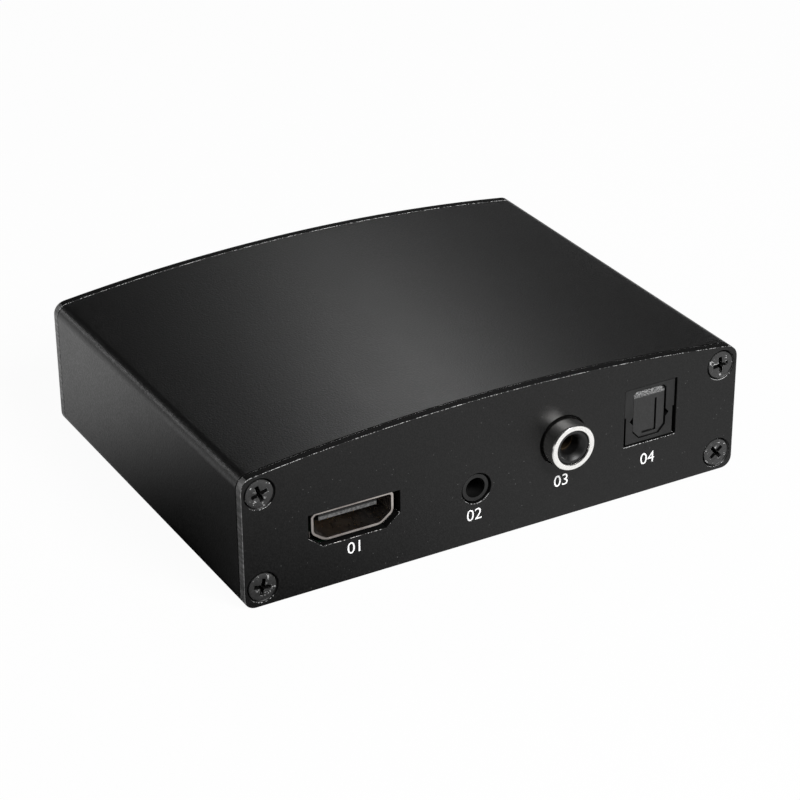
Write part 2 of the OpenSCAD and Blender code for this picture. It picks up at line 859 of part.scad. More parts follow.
// Optical socket
optical_low_z = optical_z - optical_face_h / 2;
optical_high_z = optical_z + optical_face_h / 2;
mouth_low_z = optical_z - optical_mouth_h / 2;
mouth_high_z = optical_z + optical_mouth_h / 2;
optical_back_y = optical_recess + optical_depth;
plug_axis_z = optical_z - plug_axis_drop;
hinge_z = mouth_high_z - hinge_r - shutter_gap;
hinge_y = optical_recess + shutter_recess + hinge_r;
// The plug's space is as deep as the open flap needs
shutter_reach = norm([hinge_r, hinge_z - mouth_low_z - shutter_gap]);
cavity_back_y = hinge_y + shutter_reach + sweep_gap;
emitter_y = cavity_back_y + optical_back_t;
emitter_lead_y = optical_back_y - emitter_lead_w;
emitter_lead_places = [[-emitter_lead_pitch, emitter_lead_y], [0, emitter_lead_y],
    [emitter_lead_pitch, emitter_lead_y]];

module optical_cut() {
    width = optical_body_w + 2 * optical_cut_gap;
    block([-width / 2, -overrun, optical_low_z - optical_cut_gap],
        [width / 2, plate_t + overrun, optical_high_z + optical_cut_gap]);
}

// Outline of the plug opening, drawn in by the inset, with or without the latch notches
module optical_mouth(inset) {
    half = optical_mouth_w / 2 - inset;
    low = mouth_low_z + inset;
    high = mouth_high_z - inset;
    polygon([[-half, low + optical_chamfer_h], [optical_chamfer_w - half, low],
        [half - optical_chamfer_w, low], [half, low + optical_chamfer_h],
        [half, high - optical_top_r], [half - optical_top_r, high],
        [optical_top_r - half, high], [-half, high - optical_top_r]]);
}

module latch_notches() {
    half = optical_mouth_w / 2;
    z = optical_z - notch_drop;
    for (side = [0, 1]) mirror([side, 0]) polygon([[half - notch_w, z - notch_h / 2],
        [half, z - notch_h / 2], [half + notch_w, z], [half, z + notch_h / 2],
        [half - notch_w, z + notch_h / 2]]);
}

module emitter_lead_slots() {
    for (p = emitter_lead_places) tab_slot(p[0], p[1], emitter_lead_w, emitter_lead_w);
}

module optical_housing() {
    half = optical_body_w / 2;
    cavity_half = half - optical_wall_t;
    pocket_half_w = emitter_w / 2 + fit_gap;
    at_output(optical_x) color(black_plastic) difference() {
        union() {
            slab(optical_recess, optical_depth) polygon([
                [optical_step_w - half, optical_low_z], [half - optical_step_w, optical_low_z],
                [half - optical_step_w, optical_z], [half, optical_z], [half, optical_high_z],
                [-half, optical_high_z], [-half, optical_z],
                [optical_step_w - half, optical_z]]);
            block([-half, optical_foot_setback, board_top_z],
                [half, optical_back_y, optical_z]);
        }
        slab(optical_recess - overrun, optical_front_t + 2 * overrun) {
            optical_mouth(0);
            latch_notches();
        }
        block([-cavity_half, optical_recess + optical_front_t, mouth_low_z],
            [cavity_half, cavity_back_y, mouth_high_z]);
        rod(0, cavity_back_y - overrun, plug_axis_z, optical_back_t + 2 * overrun, guide_bore_r);
        block([-pocket_half_w, emitter_y, board_top_z - overrun],
            [pocket_half_w, optical_back_y + overrun,
                plug_axis_z + emitter_h / 2 + fit_gap]);
        rod_x(hinge_pin_half, hinge_pin_r + fit_gap);
        block([spring_start_x - leg_slot_w / 2, hinge_y + spring_coil_r - leg_slot_w / 2,
                mouth_high_z - overrun],
            [spring_start_x + leg_slot_w / 2, hinge_y + spring_coil_r + leg_slot_w / 2,
                mouth_high_z + leg_slot_depth]);
    }
}

// A round bar along X on the hinge's axis
module rod_x(half_len, r) {
    translate([-half_len, hinge_y, hinge_z]) rotate([0, 90, 0]) cylinder(h = 2 * half_len, r = r);
}

hinge_pin_half = optical_mouth_w / 2 + hinge_pin_seat;
pocket_end_x = spring_pocket_x + spring_pocket_len;

// Spring-loaded flap that closes the opening; its top is rolled round the hinge pin
module optical_shutter() {
    half = optical_mouth_w / 2 - shutter_gap;
    face_y = hinge_y - hinge_r;
    groove_low = mouth_low_z + groove_rise;
    groove_high = mouth_high_z - groove_drop;
    at_output(optical_x) color(black_plastic) difference() {
        union() {
            difference() {
                slab(face_y, shutter_t) optical_mouth(shutter_gap);
                block([-half - overrun, face_y - overrun, hinge_z],
                    [half + overrun, face_y + shutter_t + overrun, mouth_high_z + overrun]);
            }
            rod_x(half - optical_top_r, hinge_r);
            for (side = [-1, 1]) translate([side * (half - optical_top_r), hinge_y, hinge_z])
                rotate([0, side * 90, 0])
                    cylinder(h = optical_top_r, r1 = hinge_r, r2 = hinge_r - optical_top_r);
        }
        rod_x(half + overrun, hinge_pin_r + fit_gap);
        block([groove_x, face_y - overrun, groove_low],
            [groove_x + groove_w, face_y + groove_depth, groove_high]);
        block([groove_x - groove_reach, face_y - overrun, groove_low],
            [groove_x + groove_w, face_y + groove_depth, groove_low + groove_w]);
        translate([spring_pocket_x, hinge_y, hinge_z]) rotate([0, 90, 0])
            cylinder(h = spring_pocket_len, r = spring_pocket_r);
        block([spring_pocket_x, hinge_y, hinge_z - spring_pocket_r],
            [pocket_end_x, hinge_y + hinge_r + overrun, hinge_z + hinge_r + overrun]);
        block([spring_pocket_x, hinge_y - spring_wire_r - fit_gap,
                hinge_z - spring_leg_len - hinge_r],
            [pocket_end_x, hinge_y + hinge_r + overrun, hinge_z]);
    }
}

module optical_shutter_pin() {
    at_output(optical_x) color(bright_metal) rod_x(hinge_pin_half - fit_gap, hinge_pin_r);
}

// Path of the torsion spring: a leg up into the ceiling, the coil, and a leg down the flap
spring_start_x = spring_pocket_x + (spring_pocket_len - spring_turns * spring_pitch) / 2;
spring_seat_len = mouth_high_z + leg_slot_depth - spring_wire_r - fit_gap - hinge_z;
spring_path = concat(
    [[spring_start_x, spring_coil_r, spring_seat_len]],
    [for (i = [0:spring_turns * spring_steps]) let (a = -360 * i / spring_steps)
        [spring_start_x + spring_pitch * i / spring_steps, spring_coil_r * cos(a),
            spring_coil_r * sin(a)]],
    [[spring_start_x + spring_pitch * spring_turns, spring_coil_r, -spring_leg_len]]);

// A closed tube along a list of points, with rings square to the path
module tube(path, r, sides) {
    last = len(path) - 1;
    function unit(v) = v / norm(v);
    function way(i) = unit(path[min(i + 1, last)] - path[max(i - 1, 0)]);
    function ring(i) = let (t = way(i), side = unit(cross(t, [1, 0, 0])), up = cross(side, t))
        [for (k = [0:sides - 1]) path[i] + r * (cos(360 * k / sides) * side
            + sin(360 * k / sides) * up)];
    points = [for (i = [0:last]) each ring(i)];
    walls = [for (i = [0:last - 1], k = [0:sides - 1]) let (n = (k + 1) % sides)
        each [[i * sides + k, (i + 1) * sides + k, (i + 1) * sides + n],
            [i * sides + k, (i + 1) * sides + n, i * sides + n]]];
    start_cap = [for (k = [1:sides - 2]) [0, k, k + 1]];
    end_cap = [for (k = [1:sides - 2]) [last * sides, last * sides + k + 1, last * sides + k]];
    polyhedron(points, concat(walls, start_cap, end_cap));
}

module optical_shutter_spring() {
    at_output(optical_x) color(bright_metal) translate([0, hinge_y, hinge_z])
        tube(spring_path, spring_wire_r, spring_sides);
}

// Light source behind the guide, with a clear dome and three leads
module optical_emitter() {
    top_z = plug_axis_z + emitter_h / 2;
    low_z = plug_axis_z - emitter_h / 2;
    at_output(optical_x) color(dark_steel) union() {
        block([-emitter_w / 2, emitter_y, low_z], [emitter_w / 2, emitter_y + emitter_t, top_z]);
        intersection() {
            translate([0, emitter_y, plug_axis_z]) sphere(emitter_dome_r);
            block([-emitter_w / 2, emitter_y - emitter_dome_r, low_z],
                [emitter_w / 2, emitter_y + emitter_t, top_z]);
        }
        for (p = emitter_lead_places) {
            tab(p[0], p[1], emitter_lead_w, emitter_lead_w, low_z + emitter_lead_w);
            block([p[0] - emitter_lead_w / 2, emitter_y + emitter_t / 2, low_z],
                [p[0] + emitter_lead_w / 2, p[1] + emitter_lead_w / 2, low_z + emitter_lead_w]);
        }
    }
}

// Power jack
power_front_y = plate_t + power_seat_gap;
power_back_y = power_front_y + power_depth;
power_hole_back = power_front_y + power_hole_depth;
power_rear_leg_y = power_back_y + power_leg_t / 2;
power_spring_leg_y = power_hole_back - power_spring_w;

module power_leg_slots() {
    tab_slot(0, power_rear_leg_y, power_leg_w, power_leg_t);
    tab_slot(0, power_spring_leg_y, power_spring_w, power_leg_t);
}

module power_jack_body() {
    slot_half = power_spring_w / 2 + power_spring_slot;
    at_input(power_x) color(black_plastic) difference() {
        union() {
            block([-power_w / 2, power_front_y, board_top_z],
                [power_w / 2, power_front_y + power_flange_depth, power_z + power_flange_top]);
            block([-power_w / 2, power_front_y, board_top_z],
                [power_w / 2, power_back_y, power_z]);
            rod(0, power_front_y, power_z, power_depth, power_barrel_r);
        }
        rod(0, 0, power_z, power_hole_back, power_bore_r);
        rod(0, power_front_y, power_z, power_depth + overrun,
            power_pin_r - power_root_step + fit_gap);
        block([-slot_half, power_front_y + power_flange_depth, board_top_z - overrun],
            [slot_half, power_spring_leg_y + power_leg_t, power_z]);
    }
}

// Centre pin with its solder leg behind the body
module power_jack_pin() {
    pin_y = power_front_y + power_pin_inset;
    at_input(power_x) color(bright_metal) union() {
        rod(0, pin_y + power_pin_r, power_z, power_hole_back - pin_y - power_pin_r, power_pin_r);
        rod(0, power_hole_back, power_z, power_rear_leg_y - power_hole_back,
            power_pin_r - power_root_step);
        translate([0, pin_y + power_pin_r, power_z]) sphere(power_pin_r);
        tab(0, power_rear_leg_y, power_leg_w, power_leg_t, power_z + power_pin_r / 2);
    }
}

// Flat spring under the plug hole that touches the plug's sleeve
module power_jack_spring() {
    strip_z = power_z - power_bore_r - power_spring_t - fit_gap;
    at_input(power_x) color(bright_metal) union() {
        block([-power_spring_w / 2, power_front_y + power_flange_depth + power_spring_slot,
                strip_z],
            [power_spring_w / 2, power_spring_leg_y + power_leg_t / 2,
                strip_z + power_spring_t]);
        tab(0, power_spring_leg_y, power_spring_w, power_leg_t, strip_z + power_spring_t);
    }
}

// Slide switch
switch_front_y = plate_t + switch_seat_gap;
switch_z = board_top_z + switch_h / 2;
slider_y = switch_front_y + switch_sheet_t + slider_play;
wiper_y = slider_y + slider_t;
base_y = switch_front_y + switch_depth - base_t;
terminal_y = switch_front_y + switch_depth + terminal_setback;
terminal_places = [for (i = [0:terminal_count - 1])
    [(i - (terminal_count - 1) / 2) * terminal_pitch, terminal_y]];

module switch_cut() {
    half = knob_w / 2 + switch_travel + switch_slot_gap;
    half_h = knob_h / 2 + switch_slot_gap;
    block([-half, -overrun, switch_z - half_h], [half, plate_t + overrun, switch_z + half_h]);
}

module switch_frame() {
    half = knob_w / 2 + switch_travel + frame_slot_gap;
    half_h = knob_h / 2 + frame_slot_gap;
    inner = switch_w / 2 - switch_sheet_t;
    inner_h = switch_h / 2 - switch_sheet_t;
    at_input(switch_x) color(bright_metal) difference() {
        block([-switch_w / 2, switch_front_y, board_top_z],
            [switch_w / 2, switch_front_y + switch_depth, board_top_z + switch_h]);
        block([-inner, switch_front_y + switch_sheet_t, switch_z - inner_h],
            [inner, switch_front_y + switch_depth + overrun, switch_z + inner_h]);
        block([-half, switch_front_y - overrun, switch_z - half_h],
            [half, switch_front_y + switch_sheet_t + overrun, switch_z + half_h]);
    }
}

module switch_base() {
    half = switch_w / 2 - switch_sheet_t - fit_gap;
    half_h = switch_h / 2 - switch_sheet_t - fit_gap;
    at_input(switch_x) color(black_plastic)
        difference() {
            block([-half, base_y, switch_z - half_h],
                [half, switch_front_y + switch_depth, switch_z + half_h]);
            for (p = terminal_places)
                rod(p[0], base_y - overrun, switch_z, base_t + 2 * overrun,
                    terminal_r + fit_gap);
        }
}

module switch_knob() {
    at_input(switch_x) color(black_plastic) union() {
        block([-slider_w / 2, slider_y, switch_z - slider_h / 2],
            [slider_w / 2, slider_y + slider_t, switch_z + slider_h / 2]);
        block([-knob_w / 2, -knob_proud, switch_z - knob_h / 2],
            [knob_w / 2, slider_y + slider_t / 2, switch_z + knob_h / 2]);
    }
}

// Sliding bridge that joins two neighbouring terminals
module switch_wiper() {
    at_input(switch_x) color(gold_metal)
        block([-wiper_w / 2, wiper_y, switch_z - wiper_h / 2],
            [wiper_w / 2, wiper_y + wiper_t, switch_z + wiper_h / 2]);
}

module switch_terminals() {
    start_y = wiper_y + wiper_t + wiper_gap;
    at_input(switch_x) color(bright_metal) {
        for (p = terminal_places) {
            rod(p[0], start_y, switch_z, p[1] - start_y, terminal_r);
            translate([p[0], p[1], switch_z]) sphere(terminal_r);
        }
        leads(terminal_places, terminal_r, switch_z);
    }
}

// Power light
light_tip_y = light_r - light_dome_proud;
light_flange_y = plate_t + light_gap;
light_back_y = light_flange_y + light_body_len;
light_lead_y = light_back_y + light_lead_len;
light_lead_places = [[-light_lead_x, light_lead_y], [light_lead_x, light_lead_y]];

module power_light() {
    at_input(light_x) color([0.75, 0.1, 0.08]) union() {
        translate([0, light_tip_y, light_z]) sphere(light_r);
        rod(0, light_tip_y, light_z, light_back_y - light_tip_y, light_r);
        rod(0, light_back_y - light_flange_t, light_z, light_flange_t,
            light_r + light_flange_w);
        for (p = light_lead_places) {
            rod(p[0], light_back_y - light_flange_t, light_z, p[1] - light_back_y
                + light_flange_t, light_lead_r);
            translate([p[0], p[1], light_z]) sphere(light_lead_r);
        }
        leads(light_lead_places, light_lead_r, light_z);
    }
}

// Block that holds the light level with its hole in the plate
module light_holder() {
    holder_back = light_back_y - light_flange_t;
    at_input(light_x) color(black_plastic) difference() {
        block([-holder_w / 2, holder_back - holder_depth + light_gap, board_top_z],
            [holder_w / 2, holder_back, light_z + light_r + holder_wall_t]);
        rod(0, 0, light_z, holder_back + overrun, light_r + fit_gap);
    }
}

// Parts on the board

// Moves a part to its place on the board's upper face
module on_board(place_shares) {
    translate([place_shares[0] * board_w, place_shares[1] * board_len, board_top_z]) children();
}

// A row of bent leads along X, whose feet point away from the package in -Y
module lead_row(count, pitch, width, package_edge, height) {
    for (i = [0:count - 1])
        translate([(i - (count - 1) / 2) * pitch - width / 2, -package_edge, 0])
            rotate([90, 0, 90]) linear_extrude(width)
                polygon([[0, height], [-lead_reach / 2, height], [-lead_reach / 2, lead_t],
                    [-lead_reach, lead_t], [-lead_reach, 0], [lead_t - lead_reach / 2, 0],
                    [lead_t - lead_reach / 2, height - lead_t], [0, height - lead_t]]);
}

module package(width, length, height) {
    block([-width / 2, -length / 2, chip_lift], [width / 2, length / 2, chip_lift + height]);
}

module extractor_chip() {
    color(black_plastic) on_board(extractor_place_shares)
        package(extractor_w, extractor_w, extractor_h);
}

module extractor_chip_leads() {
    color(bright_metal) on_board(extractor_place_shares) for (turn = [0, 90, 180, 270])
        rotate(turn) lead_row(extractor_leads, extractor_pitch, extractor_lead_w,
            extractor_w / 2, chip_lift + extractor_h / 2);
}

module sound_chip() {
    color(black_plastic) on_board(sound_place_shares) package(sound_len, sound_w, sound_h);
}

module sound_chip_leads() {
    color(bright_metal) on_board(sound_place_shares) for (turn = [0, 180])
        rotate(turn) lead_row(sound_leads, sound_pitch, sound_lead_w, sound_w / 2,
            chip_lift + sound_h / 2);
}

module controller_chip() {
    color(black_plastic) on_board(controller_place_shares)
        package(controller_len, controller_w, controller_h);
}

module controller_chip_leads() {
    color(bright_metal) on_board(controller_place_shares) for (turn = [0, 180])
        rotate(turn) lead_row(controller_leads, controller_pitch, controller_lead_w,
            controller_w / 2, chip_lift + controller_h / 2);
}

// Regulator in one piece: moulded body, three leads and a wide cooling tab
module voltage_regulator() {
    color(black_plastic) on_board(regulator_place_shares) union() {
        package(regulator_w, regulator_d, regulator_h);
        for (i = [-1:1])
            block([i * regulator_pitch - regulator_lead_w / 2, -regulator_d / 2 - lead_reach, 0],
                [i * regulator_pitch + regulator_lead_w / 2, 0, chip_lift + lead_t]);
        block([-regulator_tab_w / 2, 0, 0],
            [regulator_tab_w / 2, regulator_d / 2 + lead_reach, chip_lift + lead_t]);
    }
}

// Metal can with round ends on a thin brim
module crystal() {
    straight = crystal_len - crystal_w;
    color(bright_metal) on_board(crystal_place_shares) for (layer = [0, 1]) {
        r = crystal_w / 2 - crystal_brim * layer;
        height = layer == 1 ? crystal_h : crystal_brim_h;
        block([-straight / 2, -r, 0], [straight / 2, r, height]);
        for (side = [-1, 1]) translate([side * straight / 2, 0, 0])
            cylinder(h = height, r = r);
    }
}

// Ferrite spool on its base
module power_inductor() {
    color(dark_steel) on_board(inductor_place_shares) union() {
        block([-inductor_base_w / 2, -inductor_base_w / 2, 0],
            [inductor_base_w / 2, inductor_base_w / 2, inductor_base_h]);
        cylinder(h = inductor_base_h + inductor_rim_h * 2 + inductor_winding_h,
            r = inductor_core_r);
        translate([0, 0, inductor_base_h]) cylinder(h = inductor_rim_h, r = inductor_drum_r);
        translate([0, 0, inductor_base_h + inductor_rim_h + inductor_winding_h])
            cylinder(h = inductor_rim_h, r = inductor_drum_r);
    }
}

// Copper wire between the spool's rims, as rounds of full turns side by side
module inductor_winding() {
    wire_r = inductor_winding_h / winding_turns / 2;
    color(copper_metal) on_board(inductor_place_shares)
        translate([0, 0, inductor_base_h + inductor_rim_h]) difference() {
            union() {
                cylinder(h = inductor_winding_h, r = inductor_drum_r - 2 * wire_r);
                for (i = [0:winding_turns - 1]) translate([0, 0, (2 * i + 1) * wire_r])
                    rotate_extrude() translate([inductor_drum_r - 2 * wire_r, 0])
                        circle(wire_r - fit_gap / 4);
            }
            translate([0, 0, -overrun])
                cylinder(h = inductor_winding_h + 2 * overrun, r = inductor_core_r + fit_gap);
        }
}

// Round cans with a rolled groove, on square plastic bases
module electrolytic_capacitors() {
    color(bright_metal) for (place = can_places_shares) on_board(place) {
        difference() {
            cylinder(h = can_h, r = can_r);
            translate([0, 0, can_groove_z]) rotate_extrude() translate([can_r, 0])
                circle(can_groove_r);
        }
        block([-can_base_w / 2, -can_base_w / 2, 0], [can_base_w / 2, can_base_w / 2, can_base_h]);
    }
}

// Small block with raised metal caps at both ends
module chip_part(cap_step) {
    block([-chip_part_len / 2, -chip_part_w / 2, 0], [chip_part_len / 2, chip_part_w / 2,
        chip_part_h]);
    for (side = [-1, 1]) translate([side * (chip_part_len - chip_cap_w) / 2, 0, 0])
        block([-chip_cap_w / 2, -chip_part_w / 2 - cap_step, 0],
            [chip_cap_w / 2, chip_part_w / 2 + cap_step, chip_part_h + cap_step]);
}

module ceramic_capacitors() {
    color(ceramic_tan) for (place = capacitor_places_shares) on_board(place)
        chip_part(fit_gap);
}

module chip_resistors() {
    color(black_plastic) for (place = resistor_places_shares) on_board(place) rotate(90)
        chip_part(fit_gap);
}

casing_sleeve();
output_plate();
input_plate();
output_plate_screws();
input_plate_screws();
circuit_board();
video_out_shell();
video_out_insulator();
video_out_contacts();
video_in_shell();
video_in_insulator();
video_in_contacts();
jack_body();
jack_springs();
coax_housing();
coax_barrel();
coax_insulator();
coax_center_contact();
optical_housing();
optical_shutter();
optical_shutter_pin();
optical_shutter_spring();
optical_emitter();
power_jack_body();
power_jack_pin();
power_jack_spring();
switch_frame();
switch_base();
switch_knob();
switch_wiper();
switch_terminals();
power_light();
light_holder();
extractor_chip();
extractor_chip_leads();
sound_chip();
sound_chip_leads();
controller_chip();
controller_chip_leads();
voltage_regulator();
crystal();
power_inductor();
inductor_winding();
electrolytic_capacitors();
ceramic_capacitors();
chip_resistors();
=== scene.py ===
"""A black aluminium box that takes the sound out of a video link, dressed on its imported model.
Sizes are in millimetres and become metres where a mesh is made. The floor's shade and the lamps
are placed in metres."""

import math

import bpy
from mathutils import Matrix, Vector


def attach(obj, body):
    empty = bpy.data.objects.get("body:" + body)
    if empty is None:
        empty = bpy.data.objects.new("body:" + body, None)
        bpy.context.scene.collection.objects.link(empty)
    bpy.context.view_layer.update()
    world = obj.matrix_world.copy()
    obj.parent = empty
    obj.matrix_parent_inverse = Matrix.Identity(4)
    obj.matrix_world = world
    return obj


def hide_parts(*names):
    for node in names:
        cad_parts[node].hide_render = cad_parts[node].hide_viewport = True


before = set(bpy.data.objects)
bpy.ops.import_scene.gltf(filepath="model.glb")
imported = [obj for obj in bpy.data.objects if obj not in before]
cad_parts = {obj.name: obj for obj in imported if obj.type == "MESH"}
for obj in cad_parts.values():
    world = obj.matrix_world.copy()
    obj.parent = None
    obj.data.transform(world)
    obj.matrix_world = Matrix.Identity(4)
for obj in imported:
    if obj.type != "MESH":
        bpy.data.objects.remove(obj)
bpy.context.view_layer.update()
bpy.context.scene.view_settings.view_transform = "Standard"
MM = 0.001


def metres(*millimetres):
    return Vector(millimetres) * MM


# The view of the photograph. A long lens looks down on the output plate from its left, from
# nearly half a metre, with the box a little below the middle of the frame.
azimuth, elevation, roll = (math.radians(a) for a in (-29.306, 27.747, -0.464))
back = Vector((math.sin(azimuth) * math.cos(elevation),
               -math.cos(azimuth) * math.cos(elevation), math.sin(elevation)))
level = Vector((0, 0, 1)).cross(back).normalized()
upright = back.cross(level)
right = math.cos(roll) * level + math.sin(roll) * upright
up = math.cos(roll) * upright - math.sin(roll) * level
lens_mm = 116.675
shift_right, shift_up, distance = 1.688, 7.511, 457.758
camera = bpy.data.objects.new("view", bpy.data.cameras.new("view"))
bpy.context.scene.collection.objects.link(camera)
camera.data.lens = lens_mm
camera.data.clip_start = 0.02
camera.matrix_world = Matrix.Translation(
    metres(*(shift_right * right + shift_up * up + distance * back))
) @ Matrix((right, up, back)).transposed().to_4x4()
bpy.context.scene.camera = camera


# Shader maths in this file is written as plain arithmetic on the outputs of nodes. A Wire is one
# output, and a Finish is one material, whose make() adds any node with its settings and inputs.
class Wire:
    def __init__(self, finish, socket):
        self.finish, self.socket = finish, socket

    def maths(self, operation, *inputs):
        return self.finish.make("ShaderNodeMath", {"operation": operation},
                                dict(enumerate(inputs)))

    def __add__(self, other):
        return self.maths("ADD", self, other)

    def __sub__(self, other):
        return self.maths("SUBTRACT", self, other)

    def __rsub__(self, other):
        return self.maths("SUBTRACT", other, self)

    def __mul__(self, other):
        return self.maths("MULTIPLY", self, other)

    def above(self, low, high):
        """0 under the low value, 1 over the high one, and a smooth step between them."""
        return self.finish.make(
            "ShaderNodeMapRange", {"interpolation_type": "SMOOTHSTEP"},
            {"Value": self, "From Min": low, "From Max": high})

    __radd__, __rmul__ = __add__, __mul__


class Finish:
    def __init__(self, name, **fixed):
        self.material = bpy.data.materials.new(name)
        self.material.use_nodes = True
        self.tree = self.material.node_tree
        self.shader = self.tree.nodes["Principled BSDF"]
        self.dress(**fixed)

    def dress(self, **sockets):
        """Sets the shader's sockets: base_color=..., roughness=..., to numbers or to wires."""
        for name, value in sockets.items():
            words = name.replace("_", " ").title().replace("Ior", "IOR")
            self.fill(self.shader.inputs[words], value)

    def fill(self, socket, value):
        if isinstance(value, Wire):
            self.tree.links.new(value.socket, socket)
        elif socket.type == "RGBA":
            shade = value if hasattr(value, "__len__") else (value,) * 3
            socket.default_value = (*shade, 1)
        else:
            socket.default_value = value

    def make(self, kind, settings=(), inputs=(), output=0):
        node = self.tree.nodes.new(kind)
        for name, value in dict(settings).items():
            setattr(node, name, value)
        for name, value in dict(inputs).items():
            self.fill(node.inputs[name], value)
        return Wire(self, node.outputs[output])

    def place(self, stretch=(1, 1, 1)):
        """Where a point of the surface is, in metres, stretched along each axis."""
        here = self.make("ShaderNodeTexCoord", output="Object")
        return self.make("ShaderNodeMapping", {}, {"Vector": here, "Scale": stretch})

    def grain(self, size_mm, detail=2, stretch=(1, 1, 1)):
        """Cloudy noise whose spots are about this wide."""
        return self.make("ShaderNodeTexNoise", {},
                         {"Vector": self.place(stretch), "Scale": 1 / (size_mm * MM),
                          "Detail": detail})

    def dots(self, spacing_mm):
        """Distance from the nearest of many scattered points, as a share of their spacing."""
        return self.make("ShaderNodeTexVoronoi", {},
                         {"Vector": self.place(), "Scale": 1 / (spacing_mm * MM)})

    def blend(self, mask, under, over):
        """One colour under another, where the mask is 1."""
        def shade(value):
            return value if isinstance(value, Wire) or hasattr(value, "__len__") else (value,) * 3
        return self.make("ShaderNodeMix", {"data_type": "RGBA"},
                         {0: mask, 6: shade(under), 7: shade(over)}, 2)

    def relief(self, height, depth_mm, strength=1.0):
        return self.make("ShaderNodeBump", {},
                         {"Height": height, "Distance": depth_mm * MM, "Strength": strength})


# The box stands on white paper, which the camera sees white with the box's faint shadow on it.
# The box's faces mirror the paper too, apart from a round patch at the left, which is painted
# dark for them alone: a painted shade that darkens the box's left side and its plates in
# reflection.
bpy.ops.object.select_all(action="DESELECT")
floor_size, floor_drop = 4, 0.05 * MM
bpy.ops.mesh.primitive_plane_add(size=floor_size, location=(0, 0, -floor_drop))
floor = bpy.context.object
floor.name = "floor"
shade_patch_place, shade_patch_near, shade_patch_far = (-0.075, -0.03, 0), 0.032, 0.102
paper_white, shade_patch_grey, paper_glow = 0.8, 0.12, 0.96
paper = Finish("white_paper", roughness=0.9)
paper.shader.inputs["Specular IOR Level"].default_value = 0.2
rays = paper.tree.nodes.new("ShaderNodeLightPath")
eye, gloss, clear = (Wire(paper, rays.outputs[f"Is {kind} Ray"])
                     for kind in ("Camera", "Glossy", "Transmission"))
away = paper.make("ShaderNodeVectorMath", {"operation": "DISTANCE"}, {
    0: paper.make("ShaderNodeTexCoord", output="Object"), 1: shade_patch_place}, "Value")
paper_outside_shade = away.above(shade_patch_near, shade_patch_far)
white = eye.maths("MAXIMUM", eye, paper_outside_shade)
# For reflections the paper's colour is painted dark grey round the patch: painted shade.
paper.dress(base_color=paper.blend(gloss * (1 - paper_outside_shade), paper_white, shade_patch_grey))
glow = paper.make("ShaderNodeEmission", {}, {"Color": (1, 1, 1), "Strength": 1})
lit = paper_glow * eye.maths("MAXIMUM", eye.maths("MAXIMUM", eye, gloss), clear) * white
mixed = paper.make("ShaderNodeMixShader", {},
                   {0: lit, 1: Wire(paper, paper.shader.outputs[0]), 2: glow})
paper.tree.links.new(mixed.socket, paper.tree.nodes["Material Output"].inputs["Surface"])
floor.data.materials.append(paper.material)

# The room is nearly dark to the box, so that its black faces stay black. The camera sees it
# white, and low down, where the paper curves up behind, the box mirrors it white too.
room_dark, room_white, curve_top = (0.025, 0.025, 0.0255, 1), (1, 1, 1, 1), 0.1
world = bpy.data.worlds.new("studio")
bpy.context.scene.world = world
world.use_nodes = True
nodes, links = world.node_tree.nodes, world.node_tree.links
room = nodes["Background"]
room.inputs["Color"].default_value = room_dark
bright_room = nodes.new("ShaderNodeBackground")
bright_room.inputs["Color"].default_value = room_white
seen = nodes.new("ShaderNodeLightPath")
one_or_other = nodes.new("ShaderNodeMixShader")
where, height = nodes.new("ShaderNodeTexCoord"), nodes.new("ShaderNodeSeparateXYZ")
links.new(where.outputs["Generated"], height.inputs[0])
low = nodes.new("ShaderNodeMapRange")
low.inputs["From Min"].default_value, low.inputs["From Max"].default_value = curve_top, 0
links.new(height.outputs["Z"], low.inputs["Value"])
shows_white = seen.outputs["Is Camera Ray"]
for name in ("Is Glossy Ray", "Is Transmission Ray"):
    low_ray, wider = nodes.new("ShaderNodeMath"), nodes.new("ShaderNodeMath")
    low_ray.operation, wider.operation = "MULTIPLY", "MAXIMUM"
    links.new(seen.outputs[name], low_ray.inputs[0])
    links.new(low.outputs["Result"], low_ray.inputs[1])
    links.new(shows_white, wider.inputs[0])
    links.new(low_ray.outputs[0], wider.inputs[1])
    shows_white = wider.outputs[0]
links.new(shows_white, one_or_other.inputs[0])
links.new(room.outputs[0], one_or_other.inputs[1])
links.new(bright_room.outputs[0], one_or_other.inputs[2])
links.new(one_or_other.outputs[0], nodes["World Output"].inputs["Surface"])


def lamp(name, at, towards, size, watts):
    """A softbox: an area lamp at one point that faces another."""
    light = bpy.data.lights.new(name, "AREA")
    light.shape, light.size, light.size_y, light.energy = "RECTANGLE", size[0], size[1], watts
    holder = bpy.data.objects.new(name, light)
    bpy.context.scene.collection.objects.link(holder)
    aim = Vector(towards) - Vector(at)
    holder.rotation_mode = "QUATERNION"
    holder.location, holder.rotation_quaternion = at, aim.to_track_quat("-Z", "Y")


lamp("front_softbox", (0.16, -0.68, 0.56), (0, 0, 0.01), (0.4, 0.4), 11)
lamp("back_softbox", (0.215, 0.378, 0.376), (0, 0, 0.02), (0.05, 0.05), 0.28)
lamp("left_strip", (-0.42, 0.62, 0.25), (-0.04, 0, 0.02), (0.16, 0.16), 0.42)


# The sleeve is one length of extruded aluminium: flat bottom and sides, a gently crowned top and
# rounded long edges. It is sawn off square, bead blasted and anodised black.
case_w, side_h, crown_rise = 94, 23.25, 3.15
sleeve_end, wall_t = 35.2, 1.8
low_r, top_r = 2.0, 2.3
corner_steps, crown_steps, sleeve_edge, near_enough = 8, 72, 0.2, 0.1
crown_r = (case_w ** 2 / 4 + crown_rise ** 2) / 2 / crown_rise
crown_z = side_h + crown_rise - crown_r
top_x = case_w / 2 - top_r
top_z = crown_z + math.sqrt((crown_r - top_r) ** 2 - top_x ** 2)
lean = math.asin(top_x / (crown_r - top_r))


